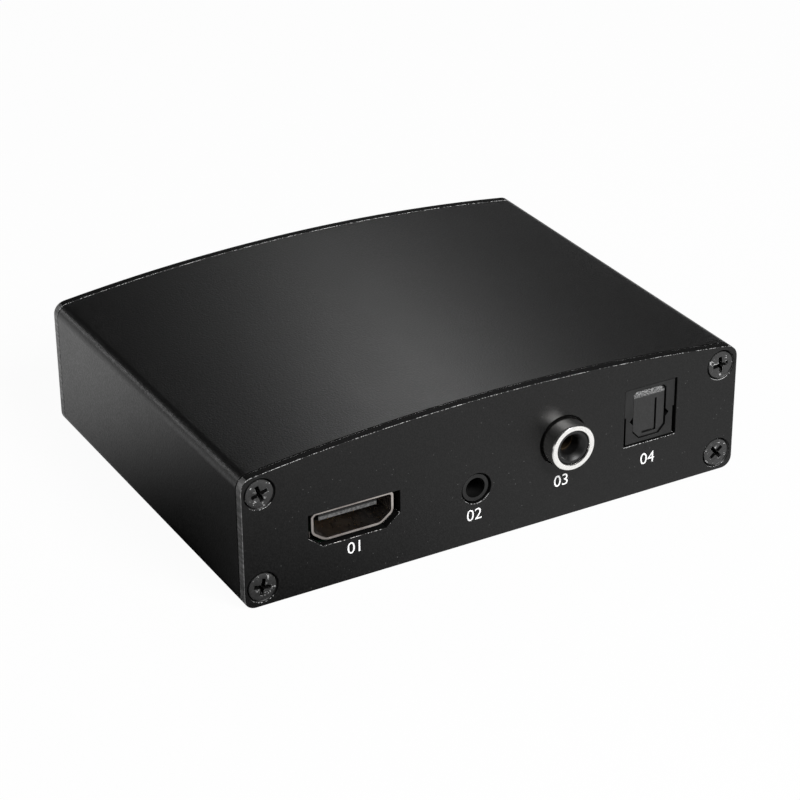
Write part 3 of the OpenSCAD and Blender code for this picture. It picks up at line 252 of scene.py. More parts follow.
def start(kind, name, scale=(1, 1, 1), **settings):
    """Adds a primitive with nothing else selected, and gives it its name and its size."""
    bpy.ops.object.select_all(action="DESELECT")
    getattr(bpy.ops.mesh, f"primitive_{kind}_add")(**settings)
    piece = bpy.context.object
    piece.name = piece.data.name = name
    piece.scale = scale
    bpy.ops.object.transform_apply(location=True, rotation=True, scale=True)
    return piece


def choose(piece, kind, test):
    """Opens the piece in edit mode with the vertices, edges or faces selected whose middle passes
    the test, which is given in millimetres."""
    bpy.ops.object.select_all(action="DESELECT")
    piece.select_set(True)
    bpy.context.view_layer.objects.active = piece
    bpy.ops.object.mode_set(mode="EDIT")
    bpy.ops.mesh.select_mode(type=kind)
    bpy.ops.mesh.select_all(action="DESELECT")
    bpy.ops.object.mode_set(mode="OBJECT")
    mesh = piece.data
    for part in {"VERT": mesh.vertices, "EDGE": mesh.edges, "FACE": mesh.polygons}[kind]:
        corners = [part.index] if kind == "VERT" else part.vertices
        middle = sum((mesh.vertices[i].co for i in corners), Vector()) / len(corners) / MM
        part.select = bool(test(middle))
    bpy.ops.object.mode_set(mode="EDIT")


def everything(middle):
    return True


def tidy(piece):
    """Merges doubled points and turns the faces outwards."""
    choose(piece, "VERT", everything)
    bpy.ops.mesh.remove_doubles(threshold=0.0005 * MM)
    bpy.ops.mesh.normals_make_consistent(inside=False)
    bpy.ops.object.mode_set(mode="OBJECT")


def finish_with(piece, kind, **settings):
    """Adds a modifier and applies it."""
    bpy.ops.object.select_all(action="DESELECT")
    piece.select_set(True)
    bpy.context.view_layer.objects.active = piece
    modifier = piece.modifiers.new(kind.lower(), kind)
    for name, value in settings.items():
        setattr(modifier, name, value)
    bpy.ops.object.modifier_apply(modifier=modifier.name)


def round_edges(piece, width, degrees, segments=2, **settings):
    """Rounds the edges that turn by more than this."""
    finish_with(piece, "BEVEL", width=width * MM, segments=segments, limit_method="ANGLE",
                angle_limit=math.radians(degrees), **settings)


def smooth(piece, degrees=35):
    """Shades the piece smooth, apart from the edges that turn by more than this."""
    bpy.ops.object.select_all(action="DESELECT")
    piece.select_set(True)
    bpy.context.view_layer.objects.active = piece
    bpy.ops.object.shade_smooth_by_angle(angle=math.radians(degrees))
    finish_with(piece, "WEIGHTED_NORMAL", keep_sharp=True, weight=100)


def casing_skin(name, near, far):
    """The casing's outline as a strip round the Y axis. It starts as the bottom's plane, whose
    edge is spun round each long corner and over the crown in turn."""
    skin = start("plane", name, size=1, location=(0, (near + far) / 2 * MM, 0),
                 scale=((case_w - 2 * low_r) * MM, (far - near) * MM, 1))
    choose(skin, "EDGE", lambda m: m.x > case_w / 2 - low_r - near_enough)
    turn = {"axis": (0, -1, 0)}
    bpy.ops.mesh.spin(steps=corner_steps, angle=-math.pi / 2,
                      center=metres(case_w / 2 - low_r, 0, low_r), **turn)
    bpy.ops.mesh.extrude_edges_move(
        TRANSFORM_OT_translate={"value": metres(0, 0, top_z - low_r)})
    bpy.ops.mesh.spin(steps=corner_steps, angle=lean - math.pi / 2,
                      center=metres(top_x, 0, top_z), **turn)
    bpy.ops.mesh.spin(steps=crown_steps, angle=-2 * lean, center=metres(0, 0, crown_z), **turn)
    bpy.ops.mesh.spin(steps=corner_steps, angle=lean - math.pi / 2,
                      center=metres(-top_x, 0, top_z), **turn)
    bpy.ops.mesh.extrude_edges_move(
        TRANSFORM_OT_translate={"value": metres(0, 0, low_r - top_z)})
    bpy.ops.mesh.spin(steps=corner_steps, angle=-math.pi / 2,
                      center=metres(low_r - case_w / 2, 0, low_r), **turn)
    bpy.ops.object.mode_set(mode="OBJECT")
    tidy(skin)
    return skin


sleeve = casing_skin("sleeve", -sleeve_end, sleeve_end)
finish_with(sleeve, "SOLIDIFY", thickness=wall_t * MM, offset=-1, use_even_offset=True)
tidy(sleeve)

anodised = Finish("black_anodised_blasted", specular_ior_level=0.42)
speckle = anodised.grain(0.3, 2)
cloud = anodised.grain(9, 2)
anodised.dress(
    base_color=anodised.blend(speckle.above(0.45, 0.7), 0.002, 0.007),
    roughness=0.31 + 0.05 * cloud + 0.1 * speckle.above(0.35, 0.65),
    normal=anodised.relief(speckle, 0.035, 0.9))

# A near-black finish painted where shade falls: the gap where the sleeve meets a plate, the walls
# of holes and recesses, and the barrel behind the plate.
painted_shade = Finish("painted_shade_black", specular_ior_level=0.1, roughness=0.6)
shade_grain = painted_shade.grain(0.4, 2)
painted_shade.dress(base_color=painted_shade.blend(shade_grain, 0.002, 0.005), normal=painted_shade.relief(shade_grain, 0.01, 0.4))

sleeve.data.materials.append(anodised.material)
sleeve.data.materials.append(painted_shade.material)
# The sleeve's square end edges are rounded in the painted shade: a painted dark line where it
# meets the plates.
round_edges(sleeve, sleeve_edge, 60, material=1)
smooth(sleeve)
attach(sleeve, "casing")
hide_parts("casing_sleeve")


# Each end plate is cut from 1.6 mm aluminium sheet to the sleeve's outline, with sharp edges
# that have lost their black in spots; these bare spots are painted only where the edges face
# upwards, so they are also a painted highlight. Four countersunk screws hold it.
plate_in, plate_out = sleeve_end, 36.8
cutter_over, cutter_long, round_steps = 1, 4, 72
sink_r, sink_rim, sink_deep, shank_r = 2.75, 0.3, 1.4, 1.45
plate_edge, edge_strip, lit_slope = 0.12, 0.3, 0.45
around_sink, upper_sink = 3, -1.9
flat_face, arris, sheared, hole_wall = range(4)
screw_places = [(x, z) for x in (-43.7, 43.7) for z in (3.4, 20.27)]


def solid_from(name, outline, side):
    """A closed prism through the plate from an outline in x and z: an edge is extruded from point
    to point, closed, filled and raised."""
    prism = start("plane", name, size=MM)
    choose(prism, "VERT", everything)
    bpy.ops.mesh.merge(type="CENTER")
    (x, z), front = outline[0], side * (plate_out + cutter_over)
    bpy.ops.transform.translate(value=metres(x, front, z))
    for a, b in zip(outline, outline[1:]):
        bpy.ops.mesh.extrude_vertices_move(
            TRANSFORM_OT_translate={"value": metres(b[0] - a[0], 0, b[1] - a[1])})
    bpy.ops.mesh.select_all(action="SELECT")
    bpy.ops.mesh.edge_face_add()
    bpy.ops.mesh.extrude_region_move(
        TRANSFORM_OT_translate={"value": metres(0, -side * cutter_long, 0)})
    bpy.ops.object.mode_set(mode="OBJECT")
    tidy(prism)
    return prism


def turned(name, x, z, side, profile, steps=64):
    """A turned piece on an axis across the plate. The profile is a chain of points, each a depth
    behind the plate's face and a radius, and is spun all the way round."""
    piece = start("plane", name, size=MM)
    choose(piece, "VERT", everything)
    bpy.ops.mesh.merge(type="CENTER")
    (depth, r), *rest = profile
    bpy.ops.transform.translate(value=metres(x + r, side * (plate_out - depth), z))
    for next_depth, next_r in rest:
        bpy.ops.mesh.extrude_vertices_move(TRANSFORM_OT_translate={
            "value": metres(next_r - r, side * (depth - next_depth), 0)})
        depth, r = next_depth, next_r
    bpy.ops.mesh.select_all(action="SELECT")
    bpy.ops.mesh.spin(steps=steps, angle=2 * math.pi, center=metres(x, 0, z), axis=(0, 1, 0))
    bpy.ops.object.mode_set(mode="OBJECT")
    tidy(piece)
    return piece


def drill(name, x, z, r, side):
    """A round cutter through the plate."""
    end = cutter_long - cutter_over
    return turned(name, x, z, side, [(-cutter_over, 0), (-cutter_over, r), (end, r), (end, 0)],
                  steps=round_steps)


def countersink(x, z, side):
    """The cutter of one screw's hole: straight at the rim, then a cone, then the shank's hole. It
    is one piece, because two that meet in a plane can empty the plate."""
    end = cutter_long - cutter_over
    return turned("countersink", x, z, side, [
        (-cutter_over, 0), (-cutter_over, sink_r), (sink_rim, sink_r), (sink_deep, shank_r),
        (end, shank_r), (end, 0)], steps=round_steps)


def cut(piece, cutter):
    """Takes the cutter's shape out of the piece, and the cutter away."""
    finish_with(piece, "BOOLEAN", operation="DIFFERENCE", solver="EXACT", object=cutter)
    bpy.data.objects.remove(cutter)


def end_plate(name, node, side, holes):
    """The blank with its countersinks, its holes and its worn edges. The outer sides show the
    sheared metal and the walls of the holes are painted dark as shade. Of the rounded edges, only
    those that face upwards show bare metal, and none round the upper part of a countersink: real
    wear, painted as a highlight where light from above falls."""
    ends = sorted((side * plate_in, side * plate_out))
    plate = casing_skin(name, *ends)
    for y in ends:
        choose(plate, "EDGE", lambda m: abs(m.y - y) < 0.01)
        bpy.ops.mesh.edge_face_add()
        bpy.ops.object.mode_set(mode="OBJECT")
    tidy(plate)
    for x, z in screw_places:
        cut(plate, countersink(x, z, side))
    for hole in holes:
        cut(plate, hole)
    for finish in (sheet, worn_lit_arris, cut_edge, painted_shade):
        plate.data.materials.append(finish.material)
    # Walls across the plate, other than the sheared sides, get the painted shade.
    for face in plate.data.polygons:
        if abs(face.normal.y) < 0.5:
            on_side = abs(face.center.x) > case_w / 2 * MM - 2 * low_r * MM
            upright_face = abs(face.normal.x) > 0.5
            face.material_index = sheared if on_side and upright_face else hole_wall
    round_edges(plate, plate_edge, 50, material=arris, use_clamp_overlap=False)
    # Bare spots stay only on upward-facing edges away from a countersink's upper part: a painted
    # highlight on real wear.
    for face in plate.data.polygons:
        if face.material_index == arris:
            middle = face.center / MM
            unlit_sink_rim = any(
                math.hypot(middle.x - x, middle.z - z) < around_sink and middle.z > z + upper_sink
                for x, z in screw_places)
            if abs(middle.x) > case_w / 2 - edge_strip:
                face.material_index = sheared
            elif face.normal.z <= lit_slope or unlit_sink_rim:
                face.material_index = flat_face
    smooth(plate)
    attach(plate, "casing")
    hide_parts(node)


worn_lit_arris = Finish("worn_and_lit_arris", roughness=0.45)
rub = worn_lit_arris.grain(0.28, 2)
patch = worn_lit_arris.grain(2.5, 2)
bare = (rub + 0.5 * patch).above(0.72, 0.84)
worn_lit_arris.dress(base_color=worn_lit_arris.blend(bare, 0.012, 0.85), metallic=0.35 * bare,
           normal=worn_lit_arris.relief(rub, 0.02, 0.5))

cut_edge = Finish("sheared_plate_edge", roughness=0.5, metallic=0.5)
shear = cut_edge.grain(0.5, 2, (1, 0.2, 1))
cut_edge.dress(base_color=cut_edge.blend(shear.above(0.35, 0.7), 0.12, 0.26),
               normal=cut_edge.relief(shear, 0.01, 0.5))

sheet = Finish("black_plate_sheet", specular_ior_level=0.27)
tooth = sheet.grain(0.25, 2)
haze = sheet.grain(7, 3)
speck = sheet.dots(0.85).above(0.11, 0.07) * sheet.grain(1.3, 1).above(0.5, 0.62)
sheet.dress(
    base_color=sheet.blend(speck, sheet.blend(tooth.above(0.35, 0.7), 0.001, 0.006), 0.08),
    roughness=0.36 + 0.08 * haze + 0.12 * tooth,
    normal=sheet.relief(tooth, 0.02, 0.7))

video_out_x, video_in_x = -27.072, -21.996
jack_x, jack_z = -4.465, 10.05
coax_x, coax_z = 12.173, 14.52
optical_x = 29.563
power_x, power_z = 28.999, 14.1
switch_x, switch_z = 7.99, 10.6
light_x, light_z = -4.982, 11.0
jack_hole_r, coax_hole_r, power_hole_r, light_hole_r = 2.8, 4.5, 3.9, 1.65
optical_half_w, optical_low, optical_high = 5.24, 9.53, 20.31
slot_half_w, slot_half_h = 3.7, 1.8


def video_hole(x, side):
    """The cutter of a video socket's hole, whose lower corners are slanted."""
    half, low, high, corner = 8.32, 7.65, 13.9, (2.55, 2.1)
    return solid_from("video_hole", [
        (x - half, high), (x + half, high), (x + half, low + corner[1]),
        (x + half - corner[0], low), (x - half + corner[0], low), (x - half, low + corner[1])],
        side)


def box_hole(x, half_w, low, high, side):
    """The cutter of a square hole."""
    return solid_from("box_hole", [(x - half_w, low), (x + half_w, low), (x + half_w, high),
                                   (x - half_w, high)], side)


end_plate("output_end_plate", "output_plate", -1, [
    video_hole(video_out_x, -1),
    drill("jack_hole", jack_x, jack_z, jack_hole_r, -1),
    drill("coax_hole", coax_x, coax_z, coax_hole_r, -1),
    box_hole(optical_x, optical_half_w, optical_low, optical_high, -1)])
end_plate("input_end_plate", "input_plate", 1, [
    video_hole(video_in_x, 1),
    drill("power_hole", power_x, power_z, power_hole_r, 1),
    box_hole(switch_x, slot_half_w, switch_z - slot_half_h, switch_z + slot_half_h, 1),
    drill("light_hole", light_x, light_z, light_hole_r, 1)])


# Eight countersunk steel screws with cross recesses hold the plates. They are blackened, and
# the driver has rubbed them bright at the recess and the rim.
sunk, screw_edge, recess_r = 0.1, 0.06, 1.9
wing_long, wing_wide, wing_high, wing_deep = 3.5, 0.78, 0.4, 2.4
screw_profile = [(0, 0), (0, 2.25), (0.05, 2.38), (0.14, 2.44), (0.26, 2.44), (1.3, 1.4),
                 (8.3, 1.4), (8.9, 0.9), (8.9, 0)]
screw_turns = {-1: (-12, 18, 40, 6), 1: (35, 8, 24, 41)}


def joined(name, pieces):
    """Makes the pieces one."""
    bpy.ops.object.select_all(action="DESELECT")
    for piece in pieces:
        piece.select_set(True)
    bpy.context.view_layer.objects.active = pieces[0]
    bpy.ops.object.join()
    whole = bpy.context.object
    whole.name = whole.data.name = name
    return whole


def copied(piece, turn, x, z):
    """A copy with its own mesh, turned about the Y axis and moved to its place."""
    twin = piece.copy()
    twin.data = piece.data.copy()
    bpy.context.scene.collection.objects.link(twin)
    twin.data.transform(Matrix.Translation(metres(x, 0, z)) @ Matrix.Rotation(turn, 4, "Y"))
    return twin


rubbed = Finish("blackened_screw_steel")
scuff = rubbed.grain(0.3, 2)
spot = rubbed.grain(0.9, 1)
shine = (scuff + spot).above(1.2, 1.3)
rubbed.dress(base_color=rubbed.blend(shine, rubbed.blend(scuff, 0.01, 0.035), 0.5),
             metallic=0.15 + 0.4 * shine, roughness=0.42 + 0.1 * scuff,
             normal=rubbed.relief(scuff, 0.02, 0.6))
rim_steel = Finish("rubbed_screw_rim", roughness=0.4)
thin = rim_steel.grain(0.5, 2)
glint = thin.above(0.5, 0.62)
rim_steel.dress(base_color=rim_steel.blend(glint, 0.012, 0.2), metallic=0.3 * glint,
                normal=rim_steel.relief(thin, 0.02, 0.5))


def cross_screw(name, side):
    """One screw at the middle of the plate: turned, then cut by the two tapered wings of the
    cross, whose walls are painted dark as shade."""
    screw = turned(name, 0, 0, side, [(sunk + depth, r) for depth, r in screw_profile])
    for turn in (0, math.pi / 2):
        wing = start("cube", "wing", size=1,
                     location=metres(0, side * (plate_out + wing_high - wing_deep / 2), 0),
                     scale=metres(wing_long, wing_deep, wing_wide))
        choose(wing, "FACE", lambda m: side * m.y < plate_out - wing_deep / 2)
        bpy.ops.transform.resize(value=(0.35, 1, 0.45))
        bpy.ops.object.mode_set(mode="OBJECT")
        wing.data.transform(Matrix.Rotation(turn, 4, "Y"))
        cut(screw, wing)
    rim, shaded = 1, 2
    for finish in (rubbed, rim_steel, painted_shade):
        screw.data.materials.append(finish.material)
    # The recess's faces are painted near-black as shade.
    for face in screw.data.polygons:
        middle = face.center / MM
        below_head = side * middle.y < plate_out - sunk - near_enough
        if math.hypot(middle.x, middle.z) < recess_r and below_head:
            face.material_index = shaded
    round_edges(screw, screw_edge, 40, material=rim)
    smooth(screw)
    return screw


for side, label in ((-1, "output"), (1, "input")):
    model = cross_screw("screw", side)
    copies = [copied(model, math.radians(turn) * side, x, z)
              for (x, z), turn in zip(screw_places, screw_turns[side])]
    bpy.data.objects.remove(model)
    screws = joined(f"{label}_screws", copies)
    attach(screws, "casing")
    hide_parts(f"{label}_plate_screws")


# The two video sockets have a folded nickel shell round a black moulding, whose tongue carries
# nineteen gilt contacts. They are soldered to the board and look out through the plates.
def finished_copy(node, name, edge, finish, body="casing", segments=2, fold=None):
    """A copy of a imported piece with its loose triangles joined, its flat faces made whole, its
    corners folded where it is sheet, and its edges rounded. It then stands for the piece."""
    piece = bpy.data.objects.new(name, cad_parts[node].data.copy())
    bpy.context.scene.collection.objects.link(piece)
    choose(piece, "VERT", everything)
    bpy.ops.mesh.remove_doubles(threshold=0.001 * MM)
    bpy.ops.mesh.dissolve_limited(angle_limit=math.radians(0.5))
    bpy.ops.object.mode_set(mode="OBJECT")
    piece.data.materials.clear()
    piece.data.materials.append(finish.material)
    for face in piece.data.polygons:
        face.material_index = 0
    if fold:
        fold(piece)
    round_edges(piece, edge, 40, segments)
    smooth(piece, 30)
    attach(piece, body)
    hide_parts(node)
    return piece


def coat(finish, *names):
    """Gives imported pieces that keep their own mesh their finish."""
    for name in names:
        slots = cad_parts[name].data.materials
        if len(slots):
            slots[0] = finish.material
        else:
            slots.append(finish.material)


nickel = Finish("nickel_sheet", metallic=1)
rolled = nickel.grain(0.25, 2, (1, 0.15, 1))
tarnish = nickel.grain(2.5, 2)
nickel.dress(base_color=nickel.blend(tarnish.above(0.35, 0.7), (0.4, 0.36, 0.34),
                                     (0.55, 0.51, 0.48)),
             roughness=0.22 + 0.16 * rolled, normal=nickel.relief(rolled, 0.004, 0.4))

moulding = Finish("black_socket_moulding", specular_ior_level=0.3)
flow = moulding.grain(0.12, 2)
cloudy = moulding.grain(3, 2)
moulding.dress(base_color=moulding.blend(cloudy.above(0.3, 0.7), 0.004, 0.009),
               roughness=0.32 + 0.14 * cloudy, normal=moulding.relief(flow, 0.006, 0.4))

# The tongue's front faces are painted grey, lighter than the black moulding, as a painted
# highlight, and their band above 11.75 mm is painted near-black as the shadow of the shell's top.
tongue_front, shell_shadow_from, shell_shadow_to = 34.3, 11.75, 11.55
tongue = Finish("tongue_front_painted_light_and_shadow", specular_ior_level=0.4)
milky = tongue.grain(0.5, 2)
tip_height = tongue.make("ShaderNodeSeparateXYZ", {}, {0: tongue.place()}, 2)
tongue.dress(base_color=tongue.blend(tip_height.above(shell_shadow_from * MM, shell_shadow_to * MM), 0.004,
                                     tongue.blend(milky.above(0.3, 0.7), 0.05, 0.14)),
             roughness=0.4 + 0.1 * milky, normal=tongue.relief(milky, 0.006, 0.4))

gilt = Finish("gilt_contacts", metallic=1)
wipe = gilt.grain(0.4, 2)
gilt.dress(base_color=gilt.blend(wipe.above(0.35, 0.65), (0.75, 0.5, 0.2), (0.95, 0.72, 0.36)),
           roughness=0.22 + 0.15 * wipe, normal=gilt.relief(wipe, 0.004, 0.3))

# The shell's bends, outside and inside: a radius, and each corner's distance from the socket's
# middle and its height. A long corner is any edge whose middle lies within the tolerance of one.
shell_bends = [(0.7, [(7.45, 13.65), (7.45, 9.95), (5.1, 8.2)]),
               (0.4, [(7.05, 13.25), (7.05, 10.151), (4.967, 8.6)])]
bend_steps, bend_tolerance = 4, 0.02
shell_edge, tongue_block_edge = 0.12, 0.06


def bend(shell, middle_x):
    """Rounds the shell's long corners, where the sheet is folded."""
    for radius, corners in shell_bends:
        choose(shell, "EDGE", lambda m: any(
            abs(abs(m.x - middle_x) - x) < bend_tolerance and abs(m.z - z) < bend_tolerance
            for x, z in corners))
        bpy.ops.mesh.bevel(offset=radius * MM, segments=bend_steps)
        bpy.ops.object.mode_set(mode="OBJECT")


for end, middle_x in (("out", video_out_x), ("in", video_in_x)):
    finished_copy(f"video_{end}_shell", f"video_{end}_folded_shell", shell_edge, nickel,
                  fold=lambda shell: bend(shell, middle_x))
    block = finished_copy(f"video_{end}_insulator", f"video_{end}_tongue_block",
                          tongue_block_edge, moulding)
    # Only the tongue's front faces take the painted highlight and shadow.
    block.data.materials.append(tongue.material)
    for face in block.data.polygons:
        face.material_index = int(abs(face.center.y) > tongue_front * MM)
coat(gilt, "video_out_contacts", "video_in_contacts")


# The stereo jack is one black moulding, whose round nose fills its hole in the plate. Its two
# contacts are bent from tinned strip and soldered to the board.
jack_edge = 0.12
finished_copy("jack_body", "jack_moulding", jack_edge, moulding,
              segments=3)

tin = Finish("tinned_metal", metallic=1)
dull = tin.grain(0.5, 3)
tin.dress(base_color=tin.blend(dull.above(0.3, 0.7), 0.5, 0.68), roughness=0.3 + 0.2 * dull,
          normal=tin.relief(dull, 0.006, 0.4))
coat(tin, "jack_springs", "power_jack_spring", "switch_terminals", "extractor_chip_leads",
     "sound_chip_leads", "controller_chip_leads")


# The coaxial socket's barrel is turned brass with bright nickel on it. It passes through the
# plate, with its collar behind the face, and holds a black plug guide.
mouth, coax_back, coax_steps = -3.3, 6.7, 96
coax_r, coax_bore_r, collar_r, spigot_r, shaded_depth = 4.15, 3.05, 4.4, 3.55, 0.3
collar_from, collar_to = 0.8, 1.7
leg_r, leg_length, leg_depth, leg_middle_z, leg_edge = 0.5, 6.5, 4.2, 8.2, 0.1
barrel = turned("coax_turned_barrel", coax_x, coax_z, -1, [
    (mouth, 3.3), (mouth, 3.84), (-3.26, 3.95), (-3.15, 4.06), (-3.0, 4.12), (-2.8, coax_r),
    (collar_from, coax_r), (collar_from, collar_r), (collar_to, collar_r), (collar_to, spigot_r),
    (coax_back, spigot_r), (coax_back, coax_bore_r), (-3.0, coax_bore_r), (-3.15, 3.1),
    (-3.25, 3.18), (mouth, 3.3)], steps=coax_steps)
ground_leg = start("cylinder", "ground_leg", radius=leg_r * MM, depth=leg_length * MM,
                   vertices=24, location=metres(coax_x, leg_depth - plate_out, leg_middle_z))
choose(ground_leg, "FACE", lambda m: m.z < leg_middle_z - leg_length / 4)
bpy.ops.mesh.bevel(offset=leg_edge * MM, segments=2)
bpy.ops.object.mode_set(mode="OBJECT")
bright = Finish("bright_nickel", metallic=1)
turning = bright.grain(0.3, 2, (1, 0.2, 1))
bright.dress(base_color=bright.blend(turning.above(0.3, 0.7), (0.86, 0.85, 0.83),
                                     (0.95, 0.94, 0.92)),
             roughness=0.16 + 0.12 * turning, normal=bright.relief(turning, 0.003, 0.3))
barrel = joined("coax_turned_barrel", [barrel, ground_leg])
barrel.data.materials.clear()
for finish in (bright, painted_shade):
    barrel.data.materials.append(finish.material)
# Faces more than 0.3 mm behind the plate's face are painted near-black as shade.
for face in barrel.data.polygons:
    face.material_index = int(face.center.y > (shaded_depth - plate_out) * MM)
smooth(barrel, 25)
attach(barrel, "casing")
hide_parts("coax_barrel")

guide_front, guide_r, pin_hole_r, tube_room_r, tube_room = -2.95, 3.0, 1.75, 2.05, -0.05
guide = turned("coax_plug_guide", coax_x, coax_z, -1, [
    (guide_front + 0.08, guide_r), (guide_front, 2.92), (guide_front, 2.58),
    (guide_front + 0.05, 2.48), (guide_front + 0.9, 1.8), (guide_front + 1.0, pin_hole_r),
    (tube_room, pin_hole_r), (tube_room, tube_room_r), (coax_back, tube_room_r),
    (coax_back, guide_r), (guide_front + 0.08, guide_r)], steps=coax_steps)
guide.data.materials.append(moulding.material)
smooth(guide, 30)
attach(guide, "casing")
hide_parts("coax_insulator")
# The centre contact is painted near-black: painted shade, since it sits deep in the guide's hole.
contact_in_shade = Finish("contact_painted_dark_as_shade", metallic=0.8)
contact_mottle = contact_in_shade.grain(0.5, 2)
contact_in_shade.dress(base_color=contact_in_shade.blend(contact_mottle, (0.03, 0.022, 0.012), (0.08, 0.055, 0.03)),
             roughness=0.5 + 0.1 * contact_mottle, normal=contact_in_shade.relief(contact_mottle, 0.006, 0.4))
coat(contact_in_shade, "coax_center_contact")
coax_block_edge = 0.12
finished_copy("coax_housing", "coax_block", coax_block_edge, moulding)


# The optical socket is a square black moulding. A flap with a rolled top hangs on a steel pin
# in its mouth, and a small torsion spring holds it shut. Its rolled top is painted lighter in
# scratchy spots: partly scrapes from plugs, partly a painted highlight where the roll catches the
# light.
optical_edge, flap_edge, flap_ease = 0.07, 0.08, 0.97
lit_roll_from, lit_roll_to = 17.95, 18.3
flap_plastic = Finish("satin_flap_moulding", specular_ior_level=0.45)
mist = flap_plastic.grain(0.3, 3)
height_up = flap_plastic.make("ShaderNodeSeparateXYZ", {}, {0: flap_plastic.place()}, 2)
scratches = flap_plastic.grain(0.2, 3).above(0.42, 0.6)
# Lighter spots only in the rolled top's height band: scrapes and a painted highlight.
scraped_and_lit = height_up.above(lit_roll_from * MM, lit_roll_to * MM) * scratches
flap_plastic.dress(
    base_color=flap_plastic.blend(scraped_and_lit, flap_plastic.blend(mist.above(0.4, 0.7), 0.006, 0.012),
                                  0.24),
    roughness=0.28 + 0.12 * mist + 0.2 * scraped_and_lit, normal=flap_plastic.relief(mist, 0.006, 0.5))
finished_copy("optical_housing", "optical_moulding", optical_edge, moulding)
flap = finished_copy("optical_shutter", "optical_flap", flap_edge, flap_plastic,
                     body="shutter", segments=3)
for point in flap.data.vertices:
    point.co.x = optical_x * MM + flap_ease * (point.co.x - optical_x * MM)
coat(tin, "optical_shutter_pin", "optical_shutter_spring")


# The power jack, the mode switch and the power light sit on the far plate. The jack and the
# knob are black mouldings, the switch's frame is folded sheet, and the light's lens is red.
moulded_edge, metal_edge, lens_edge = 0.12, 0.08, 0.05
finished_copy("power_jack_body", "power_jack_moulding", moulded_edge, moulding)
finished_copy("power_jack_pin", "power_centre_pin", metal_edge, nickel)
finished_copy("switch_frame", "switch_folded_frame", metal_edge, nickel)
finished_copy("switch_knob", "switch_slider", moulded_edge, flap_plastic,
              body="knob", segments=3)
coat(gilt, "switch_wiper")
coat(moulding, "switch_base", "light_holder")
red_lens = Finish("red_light_lens", roughness=0.12, coat_weight=0.5, coat_roughness=0.05)
depth_tint = red_lens.grain(1.2, 2)
red_lens.dress(base_color=red_lens.blend(depth_tint, (0.42, 0.008, 0.006), (0.62, 0.03, 0.02)))
red_lens.shader.inputs["Subsurface Weight"].default_value = 0.3
red_lens.shader.inputs["Subsurface Radius"].default_value = (0.002, 0.0005, 0.0005)
finished_copy("power_light", "power_light_lens", lens_edge, red_lens)


# The board is green glass fibre with its tracks under the lacquer. The chips are moulded epoxy,
# the cans drawn aluminium, the coil copper on ferrite, and the rest fired ceramic.
lacquer = Finish("green_board_lacquer", coat_weight=0.4, coat_roughness=0.15)
weave = lacquer.grain(0.5, 2)
tracks = lacquer.make("ShaderNodeTexBrick", {"offset": 0.3}, {
    "Vector": lacquer.place(), "Scale": 260, "Mortar Size": 0.06, "Mortar Smooth": 0.1,
    "Brick Width": 1.6, "Row Height": 0.32}, 1)
lacquer.dress(base_color=lacquer.blend(tracks, (0.002, 0.016, 0.007), (0.006, 0.045, 0.018)),
              roughness=0.3 + 0.15 * weave, normal=lacquer.relief(tracks, 0.03, 0.4))
coat(lacquer, "circuit_board")

epoxy = Finish("moulded_epoxy")
sand = epoxy.grain(0.15, 2)
epoxy.dress(base_color=epoxy.blend(sand.above(0.4, 0.7), 0.012, 0.024),
            roughness=0.5 + 0.15 * sand, normal=epoxy.relief(sand, 0.01, 0.5))
coat(epoxy, "extractor_chip", "sound_chip", "controller_chip", "voltage_regulator",
     "optical_emitter", "chip_resistors")

drawn = Finish("drawn_aluminium", metallic=1)
streak = drawn.grain(0.3, 2, (1, 1, 0.1))
drawn.dress(base_color=drawn.blend(streak.above(0.3, 0.7), 0.7, 0.82),
            roughness=0.2 + 0.15 * streak, normal=drawn.relief(streak, 0.004, 0.4))
coat(drawn, "electrolytic_capacitors", "crystal")

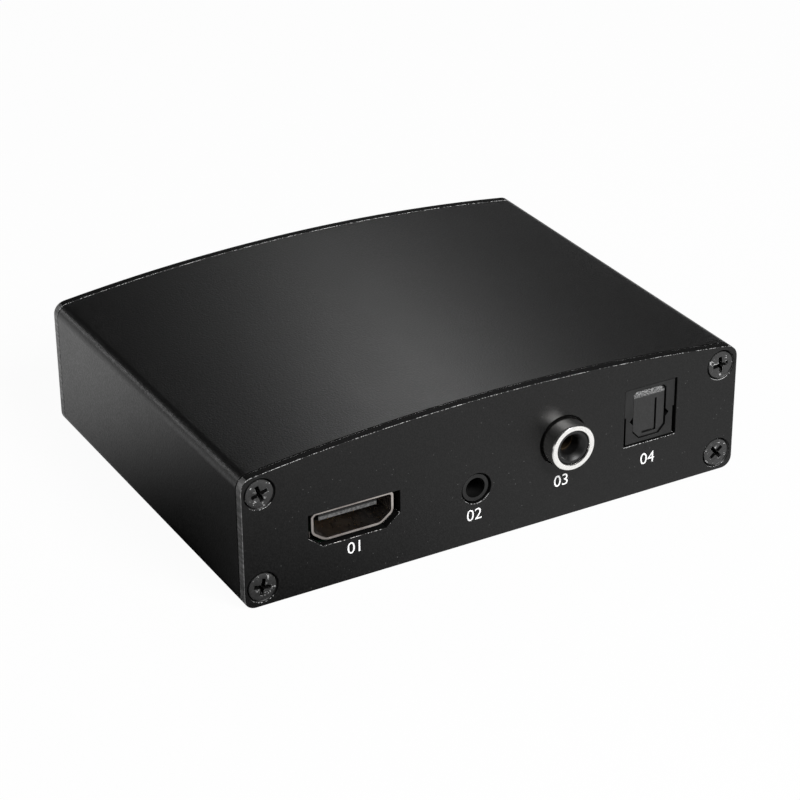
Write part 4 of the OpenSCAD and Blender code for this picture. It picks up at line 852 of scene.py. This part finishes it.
fired = Finish("fired_ceramic", roughness=0.4)
fleck = fired.grain(0.4, 2)
fired.dress(base_color=fired.blend(fleck.above(0.4, 0.65), (0.36, 0.24, 0.13),
                                   (0.55, 0.4, 0.24)), normal=fired.relief(fleck, 0.01, 0.3))
coat(fired, "ceramic_capacitors")

ferrite = Finish("grey_ferrite")
pore = ferrite.grain(0.2, 3)
ferrite.dress(base_color=ferrite.blend(pore, 0.04, 0.09), roughness=0.6 + 0.2 * pore,
              normal=ferrite.relief(pore, 0.02, 0.6))
coat(ferrite, "power_inductor")

copper = Finish("enamelled_copper", metallic=1, coat_weight=0.5, coat_roughness=0.1)
heat = copper.grain(0.6, 2)
copper.dress(base_color=copper.blend(heat, (0.55, 0.2, 0.08), (0.8, 0.38, 0.18)),
             roughness=0.25 + 0.1 * heat, normal=copper.relief(heat, 0.004, 0.3))
coat(copper, "inductor_winding")


# Each socket has a plain white number under it. The numbers are screen printed on the anodised
# plates in a matt ink, which stands about a hundredth of a millimetre proud.
ink = Finish("white_ink", roughness=0.55)
print_tooth = ink.grain(0.12, 2)
ink.dress(base_color=ink.blend(print_tooth.above(0.3, 0.6), 0.72, 0.86),
          normal=ink.relief(print_tooth, 0.004, 0.4))
ink_face, digit_size = 0.012, 3.0


def number(text, x, z, side):
    """One number, centred on its place and upright to someone who faces its plate."""
    bpy.ops.object.select_all(action="DESELECT")
    bpy.ops.object.text_add(location=metres(x, side * (plate_out + ink_face), z),
                            rotation=(math.pi / 2, 0, math.pi if side > 0 else 0))
    digit = bpy.context.object
    digit.data.body = text
    digit.data.size = digit_size * MM
    digit.data.align_x, digit.data.align_y = "CENTER", "CENTER"
    bpy.ops.object.convert(target="MESH")
    bpy.ops.object.transform_apply(location=True, rotation=True, scale=True)
    return bpy.context.object


port_numbers = [
    ("01", video_out_x, 5.75, -1), ("02", jack_x - 0.4, 5.2, -1), ("03", coax_x - 0.2, 6.85, -1),
    ("04", optical_x - 0.3, 6.3, -1), ("05", video_in_x, 5.75, 1), ("06", light_x, 6.3, 1),
    ("07", switch_x, 6.3, 1), ("08", power_x, 6.3, 1)]
numbers = joined("port_numbers", [number(*port) for port in port_numbers])
numbers.data.materials.clear()
numbers.data.materials.append(ink.material)
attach(numbers, "casing")
